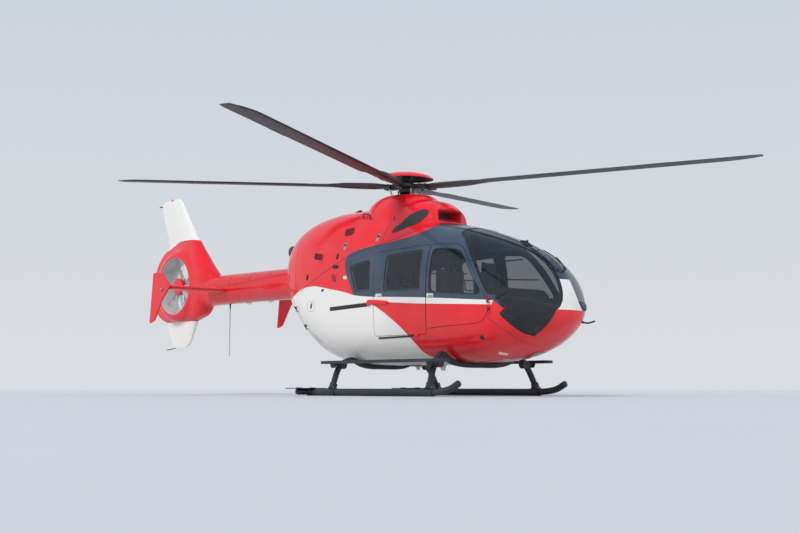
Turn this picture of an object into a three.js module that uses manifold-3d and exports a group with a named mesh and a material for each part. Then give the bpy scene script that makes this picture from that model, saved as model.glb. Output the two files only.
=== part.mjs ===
// A light twin-engined rescue helicopter, standing on its skids.
// Millimetres, +X to the nose, +Y to the port side, +Z up, the skid shoes on Z = 0.
// Places are written from a station just ahead of the rotor's mast, and the whole is then moved so
// that the origin lies under the middle of its own length.
import * as THREE from 'three';
import { mergeVertices } from 'three/addons/utils/BufferGeometryUtils.js';
import Module from 'manifold-3d';

const wasm = await Module();
wasm.setup();

// Driving dimensions
const ROTOR_RADIUS = 5100;
const MAST_X = -60;
const ROTOR_HEIGHT = 3050;
const ROTOR_AZIMUTH = 25.5; // degrees from the nose to the first blade
const BLADE_COUNT = 4;
const BLADE_CHORD = 288;
const BLADE_THICKNESS = 34;
const BLADE_PRECONE = 3; // degrees
const FAN_X = -6150;
const FAN_Z = 1945;
const FAN_RADIUS = 500;
const FAN_BLADES = 10;
const FAN_SIDES = 32;
const DUCT_HALF = 190; // half the fan duct's length
const TRACK_HALF = 1030;
const SKID_RADIUS = 45;
const SHOE = 12; // thickness of the wear shoe under each skid
const WALL = 45; // doors, side walls and roof
const GLASS = 8;
const GLASS_INSET = 8; // how far a pane lies behind the outer skin
const SEAM = 6; // gap round a door that opens
const TOUCH = 0.3; // gap between pieces that touch
const FLOOR_Z = 780;
const ROOF = 40; // thickness of the cabin's roof and engine deck
const ROOF_EDGE_Z = 2095; // where the roof meets the side walls
const COWL_SKIN = 18;
const MAST_TILT = 2; // degrees forward

const BLUE_BLACK = 0x263441;
const RED = 0xd21424;
const WHITE = 0xf1efe9;
const BLACK = 0x1c1f22;
const GREY = 0x6d7277;

// Helpers

function solidOf(geometry) {
  const plain = geometry.index ? geometry.toNonIndexed() : geometry.clone();
  const only = new THREE.BufferGeometry();
  only.setAttribute('position', plain.getAttribute('position'));
  const merged = mergeVertices(only, 1e-2);
  const triVerts = new Uint32Array(merged.index.array);
  const make = () => new wasm.Manifold(new wasm.Mesh({
    numProp: 3,
    vertProperties: merged.attributes.position.array,
    triVerts,
  }));
  const solid = make();
  if (solid.volume() > 0) return solid;
  for (let i = 0; i < triVerts.length; i += 3) {
    [triVerts[i + 1], triVerts[i + 2]] = [triVerts[i + 2], triVerts[i + 1]];
  }
  return make();
}

// A profile of [radius, height] points turned about the Z axis.
function turned(profile, sides) {
  const geometry = new THREE.LatheGeometry(profile.map(([r, h]) => new THREE.Vector2(r, h)), sides);
  geometry.rotateX(Math.PI / 2);
  return solidOf(geometry);
}

function geometryOf(solid) {
  const mesh = solid.getMesh();
  const geometry = new THREE.BufferGeometry();
  geometry.setAttribute('position', new THREE.BufferAttribute(new Float32Array(mesh.vertProperties), 3));
  geometry.setIndex(new THREE.BufferAttribute(new Uint32Array(mesh.triVerts), 1));
  geometry.computeVertexNormals();
  return geometry;
}

// A closed skin over rings of points that all have the same count.
function loft(rings) {
  const count = rings[0].length;
  const points = rings.flat();
  const index = [];
  for (let i = 0; i < rings.length - 1; i += 1) {
    for (let j = 0; j < count; j += 1) {
      const a = i * count + j;
      const b = i * count + ((j + 1) % count);
      index.push(a, b, a + count, b, b + count, a + count);
    }
  }
  for (const [first, flip] of [[0, false], [(rings.length - 1) * count, true]]) {
    const centre = new THREE.Vector3();
    for (let j = 0; j < count; j += 1) centre.add(points[first + j]);
    points.push(centre.divideScalar(count));
    const c = points.length - 1;
    for (let j = 0; j < count; j += 1) {
      const a = first + j;
      const b = first + ((j + 1) % count);
      index.push(...(flip ? [c, a, b] : [c, b, a]));
    }
  }
  const geometry = new THREE.BufferGeometry().setFromPoints(points);
  geometry.setIndex(index);
  return solidOf(geometry);
}

function box(x0, x1, y0, y1, z0, z1) {
  const geometry = new THREE.BoxGeometry(x1 - x0, y1 - y0, z1 - z0);
  geometry.translate((x0 + x1) / 2, (y0 + y1) / 2, (z0 + z1) / 2);
  return solidOf(geometry);
}

// An outline of [x, z] points, given a thickness from y0 to y1.
function sidePrism(outline, y0, y1) {
  const shape = new THREE.Shape(outline.map(([x, z]) => new THREE.Vector2(x, z)));
  const geometry = new THREE.ExtrudeGeometry(shape, { depth: y1 - y0, bevelEnabled: false });
  geometry.rotateX(Math.PI / 2);
  geometry.translate(0, y1, 0);
  return solidOf(geometry);
}

// An outline of [y, z] points, given a length from x0 to x1.
function frontPrism(outline, x0, x1) {
  const shape = new THREE.Shape(outline.map(([y, z]) => new THREE.Vector2(y, z)));
  const geometry = new THREE.ExtrudeGeometry(shape, { depth: x1 - x0, bevelEnabled: false });
  geometry.applyMatrix4(new THREE.Matrix4().makeBasis(
    new THREE.Vector3(0, 1, 0), new THREE.Vector3(0, 0, 1), new THREE.Vector3(1, 0, 0)));
  geometry.translate(x0, 0, 0);
  return solidOf(geometry);
}

// An outline of [x, y] points, given a height from z0 to z1.
function planPrism(outline, z0, z1) {
  const shape = new THREE.Shape(outline.map(([x, y]) => new THREE.Vector2(x, y)));
  const geometry = new THREE.ExtrudeGeometry(shape, { depth: z1 - z0, bevelEnabled: false });
  geometry.translate(0, 0, z0);
  return solidOf(geometry);
}

function cylinder(radius, from, to, sides = 16, radiusEnd = radius) {
  const start = new THREE.Vector3(...from);
  const end = new THREE.Vector3(...to);
  const span = end.clone().sub(start);
  const geometry = new THREE.CylinderGeometry(radiusEnd, radius, span.length(), sides);
  geometry.applyQuaternion(new THREE.Quaternion().setFromUnitVectors(
    new THREE.Vector3(0, 1, 0), span.clone().normalize()));
  geometry.translate(...start.add(end).multiplyScalar(0.5).toArray());
  return solidOf(geometry);
}

// A round bar along points joined by rounded corners.
function bar(points, radius, sides = 10, steps = 24) {
  const path = new THREE.CatmullRomCurve3(points.map((p) => new THREE.Vector3(...p)), false, 'centripetal');
  const section = new THREE.Shape();
  section.absarc(0, 0, radius, 0, Math.PI * 2, false);
  const geometry = new THREE.ExtrudeGeometry(section, { steps, extrudePath: path, curveSegments: sides / 2 });
  return solidOf(geometry);
}

// A box by its middle and its size.
function block([x, y, z], [length, width, height]) {
  return box(x - length / 2, x + length / 2, y - width / 2, y + width / 2, z - height / 2, z + height / 2);
}

// An outline moved outwards by a distance, its corners kept sharp.
function offset(outline, by) {
  const count = outline.length;
  const area = outline.reduce((sum, [x, z], i) => {
    const [nextX, nextZ] = outline[(i + 1) % count];
    return sum + x * nextZ - nextX * z;
  }, 0);
  const side = Math.sign(area) * by;
  return outline.map(([x, z], i) => {
    const [px, pz] = outline[(i + count - 1) % count];
    const [nx, nz] = outline[(i + 1) % count];
    const before = [z - pz, px - x].map((v) => v / Math.hypot(x - px, z - pz));
    const after = [nz - z, x - nx].map((v) => v / Math.hypot(nx - x, nz - z));
    const share = side / (1 + before[0] * after[0] + before[1] * after[1]);
    return [x + (before[0] + after[0]) * share, z + (before[1] + after[1]) * share];
  });
}

const union = (...solids) => solids.reduce((a, b) => a.add(b));
const mirrorY = (solid) => solid.mirror([0, 1, 0]);

const FAR = 4000; // past every piece, for cutting solids
const helicopter = new THREE.Group();
helicopter.name = 'helicopter';

// The largest body of a cut solid: slivers left by a cut are dropped.
function mainBody(solid) {
  return solid.decompose().sort((a, b) => b.volume() - a.volume())[0];
}

function piece(name, solid, colour, roughness = 0.35, metalness = 0) {
  const material = new THREE.MeshStandardMaterial({ color: colour, roughness, metalness });
  const mesh = new THREE.Mesh(geometryOf(mainBody(solid)), material);
  mesh.name = name;
  helicopter.add(mesh);
}

// The same piece on the starboard side, as given, and mirrored on the port side.
function pair(name, solid, ...finish) {
  piece(`${name}_right`, solid, ...finish);
  piece(`${name}_left`, mirrorY(solid), ...finish);
}

// The pod: the nose, cabin, engine bay and tail end of the fuselage in one smooth outer form.
// Columns: x, bottom z, top z, half width, z of the widest line, lower and upper exponent.
const POD_SECTIONS = [
  [3085, 1010, 1150, 90, 1080, 2.0, 2.0],
  [3062, 940, 1285, 230, 1110, 2.0, 2.0],
  [2995, 855, 1460, 385, 1140, 2.0, 2.0],
  [2880, 765, 1640, 522, 1160, 2.0, 2.1],
  [2725, 675, 1785, 622, 1175, 2.1, 2.2],
  [2520, 590, 1915, 690, 1185, 2.3, 2.3],
  [2240, 515, 2050, 733, 1200, 2.6, 2.5],
  [1900, 468, 2175, 762, 1220, 2.9, 2.7],
  [1500, 445, 2295, 776, 1230, 3.1, 2.9],
  [1100, 436, 2390, 780, 1250, 3.2, 3.0],
  [600, 434, 2495, 780, 1250, 3.2, 3.0],
  [200, 434, 2610, 780, 1260, 3.2, 3.0],
  [-300, 440, 2710, 778, 1270, 3.1, 3.1],
  [-700, 455, 2750, 768, 1290, 3.0, 3.2],
  [-1050, 500, 2750, 748, 1330, 2.8, 3.3],
  [-1350, 590, 2730, 720, 1390, 2.7, 3.3],
  [-1620, 730, 2690, 685, 1460, 2.6, 3.3],
  [-1870, 920, 2635, 640, 1550, 2.5, 3.2],
  [-2090, 1130, 2565, 580, 1650, 2.4, 3.0],
  [-2290, 1360, 2470, 490, 1760, 2.3, 2.8],
  [-2460, 1530, 2340, 380, 1850, 2.2, 2.5],
];
const RING_POINTS = 28;
const signedPower = (value, power) => Math.sign(value) * Math.abs(value) ** power;

function podRing([x, bottom, top, half, widest, nLower, nUpper], inset) {
  const ring = [];
  for (let i = 0; i < RING_POINTS; i += 1) {
    const turn = ((i + 0.5) / RING_POINTS) * Math.PI * 2;
    const up = Math.sin(turn) > 0;
    const power = 2 / (up ? nUpper : nLower);
    const height = Math.max(1, up ? top - widest - inset : widest - bottom - inset);
    ring.push(new THREE.Vector3(
      x,
      signedPower(Math.cos(turn), power) * Math.max(1, half - inset),
      widest + signedPower(Math.sin(turn), power) * height,
    ));
  }
  return ring;
}

// The pod's form moved in by an inset, at its ends too.
function podForm(inset) {
  const nose = POD_SECTIONS[0][0];
  const tail = POD_SECTIONS.at(-1)[0];
  const scale = (nose - tail - 2 * inset) / (nose - tail);
  const rings = POD_SECTIONS
    .map((section) => [tail + inset + (section[0] - tail) * scale, ...section.slice(1)])
    .map((section) => podRing(section, inset));
  return loft(rings);
}

// The engine deck in side view, as [x, z] from the front to the back. The cowls lie over it.
const COWL_FRONT_X = 1000;
const DECK = [
  [COWL_FRONT_X, 2370], [454, 2199], [-91, 2099], [-610, 1985], [-1300, 1740], [-1700, 1590], [-2500, 1560],
];
const overDeck = (lift) => sidePrism(
  [
    [COWL_FRONT_X, FAR], ...DECK.map(([x, z]) => [x, z + lift]), [-FAR, DECK.at(-1)[1] + lift], [-FAR, FAR],
  ], -1000, 1000);

// The exhausts' end of the cowls is cut off at a slant.
const rearCut = sidePrism(
  [[-2540, 2100], [-2215, 2570], [-2215, FAR], [-FAR, FAR], [-FAR, 2100]], -1000, 1000);
const podOuter = podForm(0).subtract(rearCut);
const podInner = podForm(WALL).subtract(rearCut.translate([WALL, 0, -WALL]));

// Hollow parts: the cabin, the footwell in the nose, and the load space behind the cabin.
const FOOTWELL_X = 2180;
const FOOTWELL_Z = 610;
const cabinSpace = podInner.subtract(overDeck(-ROOF)).intersect(union(
  box(-2400, FOOTWELL_X, -900, 900, FLOOR_Z, FAR),
  box(FOOTWELL_X - 1, FAR, -900, 900, FOOTWELL_Z, FAR),
));
const bayForm = podForm(COWL_SKIN).subtract(rearCut.translate([COWL_SKIN, 0, -COWL_SKIN]));
const shell = podOuter.subtract(cabinSpace).subtract(overDeck(0));

// Openings in side view. Each outline is [x, z].
const DOOR_BOTTOM = 830;
const DOOR_SPLIT_X = 1190;
const COCKPIT_DOOR = [
  [DOOR_SPLIT_X, 900], [1440, 918], [2088, 942], [2196, 970], [2265, 1035], [2300, 1125], [2280, 1220],
  [2235, 1330], [2020, 1660], [1810, 1925], [1735, 1990], [1640, 2030], [DOOR_SPLIT_X, 2060],
];
const SLIDING_DOOR = [
  [110, DOOR_BOTTOM], [DOOR_SPLIT_X, DOOR_BOTTOM], [DOOR_SPLIT_X, 2060], [180, 2025], [110, 1980],
];
const COCKPIT_GLASS = [
  [1260, 1395], [2130, 1312], [2178, 1340], [2158, 1400], [1834, 1830], [1750, 1918], [1640, 1962],
  [1300, 1992], [1250, 1955], [1240, 1430],
];
const SLIDING_GLASS = [
  [340, 1450], [1030, 1435], [1060, 1460], [1070, 1960], [1040, 1990], [400, 1965], [350, 1930], [320, 1480],
];
const REAR_GLASS = [
  [-260, 1480], [0, 1490], [20, 1520], [10, 1900], [-20, 1930], [-400, 1870], [-440, 1830], [-310, 1520],
];
const SCREEN = [
  [2300, 1312], [2529, 1274], [2811, 1231], [3010, 1166], [3066, 1130], [FAR, 1100], [FAR, FAR], [1500, FAR],
  [1500, 2300], [1560, 2190], [1700, 2105], [1800, 2000], [1870, 1920], [2031, 1716], [2247, 1378],
];
const CHIN = [
  [2465, 1058], [2510, 1092], [2621, 1180], [3000, 1110], [FAR, 1065], [FAR, 755], [2753, 767], [2679, 805],
  [2585, 920],
];
// The post between the windscreens and chin windows: its starboard edge from the front, as [y, z].
const POST_EDGE = [
  [-355, 400], [-345, 760], [-325, 850], [-305, 960], [-262, 1090], [-205, 1130], [-150, 1220], [-115, 1340],
  [-95, 1500], [-70, 1750], [-50, 2000], [-40, FAR],
];
const POST = [...POST_EDGE, ...POST_EDGE.map(([y, z]) => [-y, z]).reverse()];
const rightSide = (outline) => sidePrism(outline, -1000, -250);
const besidePost = (outline, room) => sidePrism(outline, -1000, 0)
  .subtract(frontPrism(offset(POST, room), 1200, FAR));
const bothSides = (solid) => union(solid, mirrorY(solid));

// The clamshell doors are all of the pod's tail end behind a slanted plane, up to the boom.
const CLAM_SEAM = [[-1130, 380], [-2010, 1500]];
function clamZone(room) {
  const [[x0, z0], [x1, z1]] = CLAM_SEAM;
  const back = (room * Math.hypot(x1 - x0, z1 - z0)) / (z1 - z0);
  const top = [x1 - back + (room * (x0 - x1)) / (z1 - z0), z1 - room];
  return sidePrism([[x0 - back, z0], top, [-FAR, z1 - room], [-FAR, z0]], -1000, 1000);
}

// The line between the nose's frame and the cabin behind it, in side view.
const NOSE_SEAM = [
  [2860, 300], [2521, 820], [2439, 890], [2370, 950], [2290, 1025], [2220, 1060], [1700, 1950], [1600, 2095],
  [1520, 2150], [1400, 2290], [1400, FAR],
];
const noseZone = (room) => sidePrism(
  [...NOSE_SEAM.map(([x, z]) => [x - room, z]), [FAR, FAR], [FAR, 300]], -1001, 1001);

// Hinges stand outside the skin. Each has a knuckle on the leaf between two on the frame.
// Columns: two points of the axis, direction from the axis to the leaf, places of the hinges in mm
// from the first point. The starboard hinges are listed, and the port ones mirror them.
const HINGE = { radius: 14, leaf: 60, frame: 28, reach: 72, depth: 60, play: 0.4 };
const HINGES = {
  cockpit_door: { from: [2318, -744, 1000], to: [2318, -744, 1300], toLeaf: [-1, 0, 0], at: [112, 232] },
  clamshell_door: { from: [-1578, -622, 950], to: [-1931, -650, 1400], toLeaf: [-1, 0, 0], at: [110, 470] },
  engine_cowl: { from: [-850, -153, 2784], to: [-1750, -153, 2687], toLeaf: [0, -1, 0], at: [120, 820] },
};

function hingeKnuckles({ from, to, toLeaf, at }) {
  const start = new THREE.Vector3(...from);
  const axis = new THREE.Vector3(...to).sub(start).normalize();
  const leafWay = new THREE.Vector3(...toLeaf);
  leafWay.addScaledVector(axis, -leafWay.dot(axis)).normalize();
  // The third direction points into the pod.
  const inward = new THREE.Vector3().crossVectors(axis, leafWay);
  const middle = new THREE.Vector3(-200, 0, 1350);
  if (inward.dot(middle.clone().sub(start)) < 0) inward.negate();
  const place = (solid, along) => {
    const spot = start.clone().addScaledVector(axis, along);
    const [a, b, c] = [leafWay, inward, axis].map((v) => v.toArray());
    return solid.transform([...a, 0, ...b, 0, ...c, 0, ...spot.toArray(), 1]);
  };
  const { radius, leaf, frame, reach, depth, play } = HINGE;
  const knuckle = (side, z0, z1) => union(
    cylinder(radius, [0, 0, z0], [0, 0, z1], 12),
    side > 0 ? box(0, reach, -radius, depth, z0, z1) : box(-reach, 0, -radius, depth, z0, z1),
  );
  const half = leaf / 2;
  return {
    leaf: union(...at.map((along) => place(knuckle(1, -half, half), along))),
    frame: union(...at.flatMap((along) => [
      place(knuckle(-1, half + play, half + play + frame), along),
      place(knuckle(-1, -half - play - frame, -half - play), along),
    ])),
  };
}
const hinges = Object.fromEntries(Object.entries(HINGES).map(([name, row]) => [name, hingeKnuckles(row)]));
// A leaf's knuckle stays clear of the skin beside the leaf.
const leafHinge = (name, zone) => hinges[name].leaf.subtract(podForm(-4).subtract(zone));

// The pillar that both doors of a side close against. It stands behind their inner faces.
const PILLAR_HALF = 40;
const DOOR_ROOM = 5;

function doorPillar() {
  const doorways = union(...[COCKPIT_DOOR, SLIDING_DOOR].map((outline) => rightSide(offset(outline, 1))));
  return podForm(WALL - DOOR_ROOM).subtract(podForm(2 * WALL))
    .subtract(doorways.subtract(podForm(WALL + DOOR_ROOM)))
    .intersect(box(DOOR_SPLIT_X - PILLAR_HALF, DOOR_SPLIT_X + PILLAR_HALF, -1000, -300,
      FLOOR_Z + TOUCH, ROOF_EDGE_Z - TOUCH));
}

function buildPod() {
  const doors = bothSides(union(...[COCKPIT_DOOR, SLIDING_DOOR, REAR_GLASS].map(rightSide)));
  const windows = bothSides(union(besidePost(SCREEN, 0), besidePost(CHIN, 0)));
  const framed = shell.subtract(union(doors, windows, clamZone(0)));
  const pod = framed.subtract(crossTubes(TOUCH));
  piece('nose_frame', pod.intersect(noseZone(0)).add(bothSides(hinges.cockpit_door.frame)), RED);
  const body = pod.subtract(noseZone(TOUCH));
  const belly = body.intersect(box(-FAR, FAR, -1000, 1000, 0, FLOOR_Z));
  piece('underfloor', belly.add(block([100, 0, 450], HOOK_PLATE)), WHITE);
  const above = body.intersect(box(-FAR, FAR, -1000, 1000, FLOOR_Z + TOUCH, FAR));
  const roofZone = (room) => overDeck(-ROOF - room).add(box(-FAR, FAR, -1000, 1000, ROOF_EDGE_Z - room, FAR));
  piece('cabin_roof', above.intersect(roofZone(0)), BLUE_BLACK);
  const wall = above.subtract(roofZone(TOUCH)).intersect(box(-FAR, FAR, -1000, -TOUCH, 0, FAR));
  pair('side_wall', union(wall, doorPillar(), hinges.clamshell_door.frame), RED);
}

function buildDoors() {
  const zone = (outline) => rightSide(offset(outline, -SEAM));
  const leaf = (outline, glass) => shell.intersect(zone(outline)).subtract(rightSide(glass));
  const cockpitHinges = leafHinge('cockpit_door', zone(COCKPIT_DOOR));
  pair('cockpit_door', leaf(COCKPIT_DOOR, COCKPIT_GLASS).add(cockpitHinges), RED);
  const rollers = [200, 1100].map((x) => block([x, -740, DOOR_BOTTOM + 10], [60, 40, 20 - 2 * TOUCH]));
  pair('sliding_door', union(leaf(SLIDING_DOOR, SLIDING_GLASS), ...rollers), RED);
  const clam = shell.intersect(clamZone(SEAM)).intersect(box(-FAR, 0, -1000, -SEAM / 2, 0, FAR));
  pair('clamshell_door', clam.add(leafHinge('clamshell_door', clamZone(SEAM))), WHITE);
}

function buildGlass() {
  const layer = podForm(GLASS_INSET).subtract(podForm(GLASS_INSET + GLASS));
  // Columns: name, region that the pane fills
  const panes = [
    ['cockpit_door_glass', rightSide(offset(COCKPIT_GLASS, -TOUCH))],
    ['sliding_door_glass', rightSide(offset(SLIDING_GLASS, -TOUCH))],
    ['rear_side_glass', rightSide(offset(REAR_GLASS, -TOUCH))],
    ['windscreen', besidePost(offset(SCREEN, -TOUCH), TOUCH)],
    ['chin_window', besidePost(offset(CHIN, -TOUCH), TOUCH)],
  ];
  for (const [name, region] of panes) pair(name, layer.intersect(region), 0x5f7488, 0.05);
}

// Cowls over the engine deck
const SPINE_HALF = 150;
const SIDE_COWL_FRONT_X = 200;
const SIDE_COWL_BACK_X = -1900;
// The hump round the mast, in plan. Columns: z, middle x, half length, half width.
const HUMP_SECTIONS = [
  [2300, -60, 640, 520],
  [2600, -60, 620, 500],
  [2720, -60, 590, 460],
  [2810, -60, 530, 400],
  [2870, -55, 450, 335],
  [2900, -50, 370, 285],
];
const HUMP_TOP = HUMP_SECTIONS.at(-1)[0];
const MAST_HOLE = 240;
const HUMP_POINTS = 24;

function humpForm(room) {
  return loft(HUMP_SECTIONS.map(([z, x, halfLength, halfWidth]) => {
    const ring = [];
    for (let i = 0; i < HUMP_POINTS; i += 1) {
      const turn = (i / HUMP_POINTS) * Math.PI * 2;
      ring.push(new THREE.Vector3(
        x + signedPower(Math.cos(turn), 0.85) * (halfLength + room),
        signedPower(Math.sin(turn), 0.85) * (halfWidth + room),
        z + (z === HUMP_TOP ? room : 0),
      ));
    }
    return ring;
  }));
}

// The scoop in front of the mast. Columns: x, half width, top z.
const SCOOP_SECTIONS = [[205, 500, 2800], [500, 480, 2795], [700, 430, 2750], [860, 350, 2650]];
const SCOOP_BASE = 2300;
const SCOOP_MOUTH = { x: [600, 900], half: 215, z: [2465, 2600] };

const PIPE_RADIUS = 105;
const PIPE_WALL = 10;
const PIPE_ROOM = 10; // between a pipe and the cowls round it
// Each exhaust pipe runs back from its engine and ends past the cowls.
const PIPE_START = [-1200, -320, 2190];
const PIPE_END = [-2470, -240, 2260];
const exhausts = (room) => bothSides(
  cylinder(PIPE_RADIUS + room, PIPE_START, [PIPE_END[0] - room, PIPE_END[1], PIPE_END[2]], 16));
const BORE_START_X = -1900;
const onPipe = (x) => {
  const share = (x - PIPE_START[0]) / (PIPE_END[0] - PIPE_START[0]);
  return PIPE_START.map((start, i) => start + share * (PIPE_END[i] - start));
};

function buildCowls() {
  const skin = podOuter.subtract(bayForm).intersect(overDeck(TOUCH));
  const sideZone = (room) => box(
    SIDE_COWL_BACK_X + room, SIDE_COWL_FRONT_X - room, -1000, -SPINE_HALF - room, 0, FAR,
  ).subtract(humpForm(room));
  pair('engine_cowl', skin.intersect(sideZone(SEAM)).add(leafHinge('engine_cowl', sideZone(SEAM))), RED);
  const hump = humpForm(0).subtract(humpForm(-COWL_SKIN))
    .intersect(box(-1000, 1000, -1000, 1000, 2300, FAR)).subtract(bayForm);
  const scoop = loft(SCOOP_SECTIONS.map(([x, half, top]) => {
    const ring = [];
    for (let i = 0; i < 16; i += 1) {
      const turn = (i / 16) * Math.PI * 2;
      const height = Math.sin(turn) > 0 ? top - SCOOP_BASE : 20;
      ring.push(new THREE.Vector3(x, signedPower(Math.cos(turn), 0.7) * half,
        SCOOP_BASE + signedPower(Math.sin(turn), 0.7) * height));
    }
    return ring;
  }));
  const mouth = box(...SCOOP_MOUTH.x, -SCOOP_MOUTH.half, SCOOP_MOUTH.half, ...SCOOP_MOUTH.z);
  const scoopShell = scoop.intersect(overDeck(TOUCH))
    .subtract(union(humpForm(0), podForm(COWL_SKIN - 1), mouth));
  const centre = union(skin.subtract(bothSides(sideZone(0))), hump, scoopShell).subtract(bayForm);
  const mastHole = cylinder(MAST_HOLE, [MAST_X, 0, 2400], [MAST_X, 0, 3000], 24);
  const opened = centre.subtract(union(exhausts(PIPE_ROOM), mastHole));
  piece('centre_cowl', opened.add(bothSides(hinges.engine_cowl.frame)), RED);
}

// Engines, gearbox and exhausts under the cowls
const GEARBOX_TOP = 2470;
const MAST_FOOT = -540; // where the turning mast leaves the gearbox's collar, from the rotor's centre

function buildEngines() {
  const core = union(
    cylinder(160, [-1250, -330, 2190], [-330, -330, 2240], 16),
    cylinder(160, [-1250, 330, 2190], [-330, 330, 2240], 16),
    box(-380, 140, -380, 380, 1950, GEARBOX_TOP),
  );
  const bores = bothSides(cylinder(
    PIPE_RADIUS - PIPE_WALL, onPipe(BORE_START_X), onPipe(PIPE_END[0] - 20), 16));
  const bay = podForm(COWL_SKIN + 20).intersect(overDeck(TOUCH));
  const collar = rotorFrame(cylinder(110, [0, 0, MAST_FOOT - 200], [0, 0, MAST_FOOT], 20));
  const drive = union(core.intersect(bay), exhausts(0), collar).subtract(bores);
  piece('engines_and_gearbox', drive, GREY, 0.5, 0.6);
}

// Tail boom. Columns: x, middle z, half height, half width. It ends at the housing's joint.
const JOINT_X = -4975;
const BOOM_SECTIONS = [
  [-2460 - TOUCH, 1785, 255, 262],
  [-2750, 1790, 250, 250],
  [-3700, 1798, 250, 222],
  [JOINT_X + TOUCH, 1802, 256, 204],
];
// The housing's front end, behind that joint, with the same columns
const STUB_SECTIONS = [[JOINT_X, 1802, 256, 204], [-5350, 1806, 262, 186], [-5600, 1812, 262, 150]];
const TAIL_SKIN = 14;
// Fin and fan housing in one. Columns: z, leading edge x, trailing edge x, half thickness.
const FIN_SECTIONS = [
  [1300, -5650, -6620, 70],
  [1345, -5500, -6760, 105],
  [1410, -5330, -6890, 142],
  [1600, -5165, -7060, 178],
  [1945, -5040, -7120, DUCT_HALF],
  [2060, -4990, -7110, 187],
  [2290, -5200, -7030, 165],
  [2520, -5400, -6850, 120],
  [2690, -5545, -6600, 90],
  [2760, -5605, -6590, 82],
  [3150, -5905, -6775, 54],
  [3400, -6090, -6850, 40],
  [3500, -6170, -6878, 32],
  [3570, -6260, -6800, 20],
];
const VENTRAL_SECTIONS = [
  [835, -5960, -6420, 18],
  [900, -5850, -6450, 26],
  [1300 - TOUCH, -5620, -6640, 62],
];

const AEROFOIL_POINTS = 8; // on each side

// An aerofoil's outline at one height: round in front, sharp behind.
function aerofoil(z, front, back, half) {
  const ring = [];
  for (const side of [1, -1]) {
    for (let i = 0; i < AEROFOIL_POINTS; i += 1) {
      const step = i / AEROFOIL_POINTS;
      const along = side > 0 ? step : 1 - step;
      const share = (1 - Math.cos(along * Math.PI)) / 2;
      const thick = 2.6 * (Math.sqrt(share) - share) * (1 - 0.35 * share) / 0.575 + 0.09 * share;
      ring.push(new THREE.Vector3(front + (back - front) * share, side * half * Math.min(1, thick), z));
    }
  }
  return ring;
}

// Tailplane
const TAILPLANE = { front: -4400, chord: 550, z: 1770, half: 1310, thick: 80 };
const END_PLATE = [
  [-4390, 1790], [-4660, 2030], [-4930, 2030], [-4960, 1760], [-5030, 1180], [-4870, 1230], [-4640, 1560],
];

function tailplaneForm(room) {
  const ring = (y) => aerofoil(0, TAILPLANE.front + room, TAILPLANE.front - TAILPLANE.chord - room,
    TAILPLANE.thick / 2 + room).map((p) => new THREE.Vector3(p.x, y, TAILPLANE.z + p.y));
  return loft([ring(-TAILPLANE.half), ring(TAILPLANE.half)]);
}

// An oval section of the boom, its skin moved in by an inset.
function oval([x, z, halfHeight, halfWidth], inset = 0) {
  const ring = [];
  for (let i = 0; i < 24; i += 1) {
    const turn = (i / 24) * Math.PI * 2;
    ring.push(new THREE.Vector3(x, signedPower(Math.cos(turn), 0.92) * (halfWidth - inset),
      z + signedPower(Math.sin(turn), 0.92) * (halfHeight - inset)));
  }
  return ring;
}

// The inside of a tube of sections, run out past both of its ends.
function boreOf(sections) {
  const rings = sections.map((row) => oval(row, TAIL_SKIN));
  for (const point of rings[0]) point.x += 1;
  for (const point of rings.at(-1)) point.x -= 1;
  return loft(rings);
}

// A solid of the fan duct's axis, from a profile of [radius, distance from the middle].
const fanForm = (profile) => turned(profile, FAN_SIDES).rotate([90, 0, 0]);
const aroundFan = (profile) => fanForm(profile).translate([FAN_X, 0, FAN_Z]);

function buildTail() {
  const fin = loft(FIN_SECTIONS.map((row) => aerofoil(...row)));
  const stub = loft(STUB_SECTIONS.map((row) => oval(row)));
  const lip = aroundFan([
    [0, -DUCT_HALF], [FAN_RADIUS + 30, -DUCT_HALF], [640, -120],
    [640, 120], [FAN_RADIUS + 30, DUCT_HALF], [0, DUCT_HALF],
  ]);
  const duct = aroundFan([
    [0, -300], [FAN_RADIUS + 80, -300], [FAN_RADIUS + 30, -DUCT_HALF - 1], [FAN_RADIUS, -150],
    [FAN_RADIUS, 150], [FAN_RADIUS + 30, DUCT_HALF + 1], [FAN_RADIUS + 80, 300], [0, 300],
  ]);
  const ductWall = aroundFan([[0, -300], [FAN_RADIUS + 60, -300], [FAN_RADIUS + 60, 300], [0, 300]]);
  // The skins are hollow, and open at the joint between boom and housing.
  const finSpace = loft(FIN_SECTIONS.slice(1, -2).map(([z, front, back, half]) => aerofoil(
    z, front - 2 * TAIL_SKIN, back + 6 * TAIL_SKIN, half - TAIL_SKIN)));
  const space = mainBody(union(finSpace, boreOf(STUB_SECTIONS)).subtract(ductWall));
  piece('fin_and_fan_housing', union(fin, stub, lip).subtract(union(duct, space)), RED);
  piece('ventral_fin', loft(VENTRAL_SECTIONS.map((row) => aerofoil(...row))), WHITE);
  const boom = loft(BOOM_SECTIONS.map((row) => oval(row))).subtract(boreOf(BOOM_SECTIONS));
  piece('tail_boom', boom.subtract(tailplaneForm(TOUCH)), RED);
  piece('tailplane', tailplaneForm(0), RED);
  pair('end_plate', sidePrism(END_PLATE, -TAILPLANE.half - 28 - TOUCH, -TAILPLANE.half - TOUCH), RED);
}

// Fan in the housing. It turns on the starboard side of the fixed vanes.
const FAN_HUB_RADIUS = 150;
const VANES = 5;
const ROTOR_Y = -60;
const TIP_GAP = 10;

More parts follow.
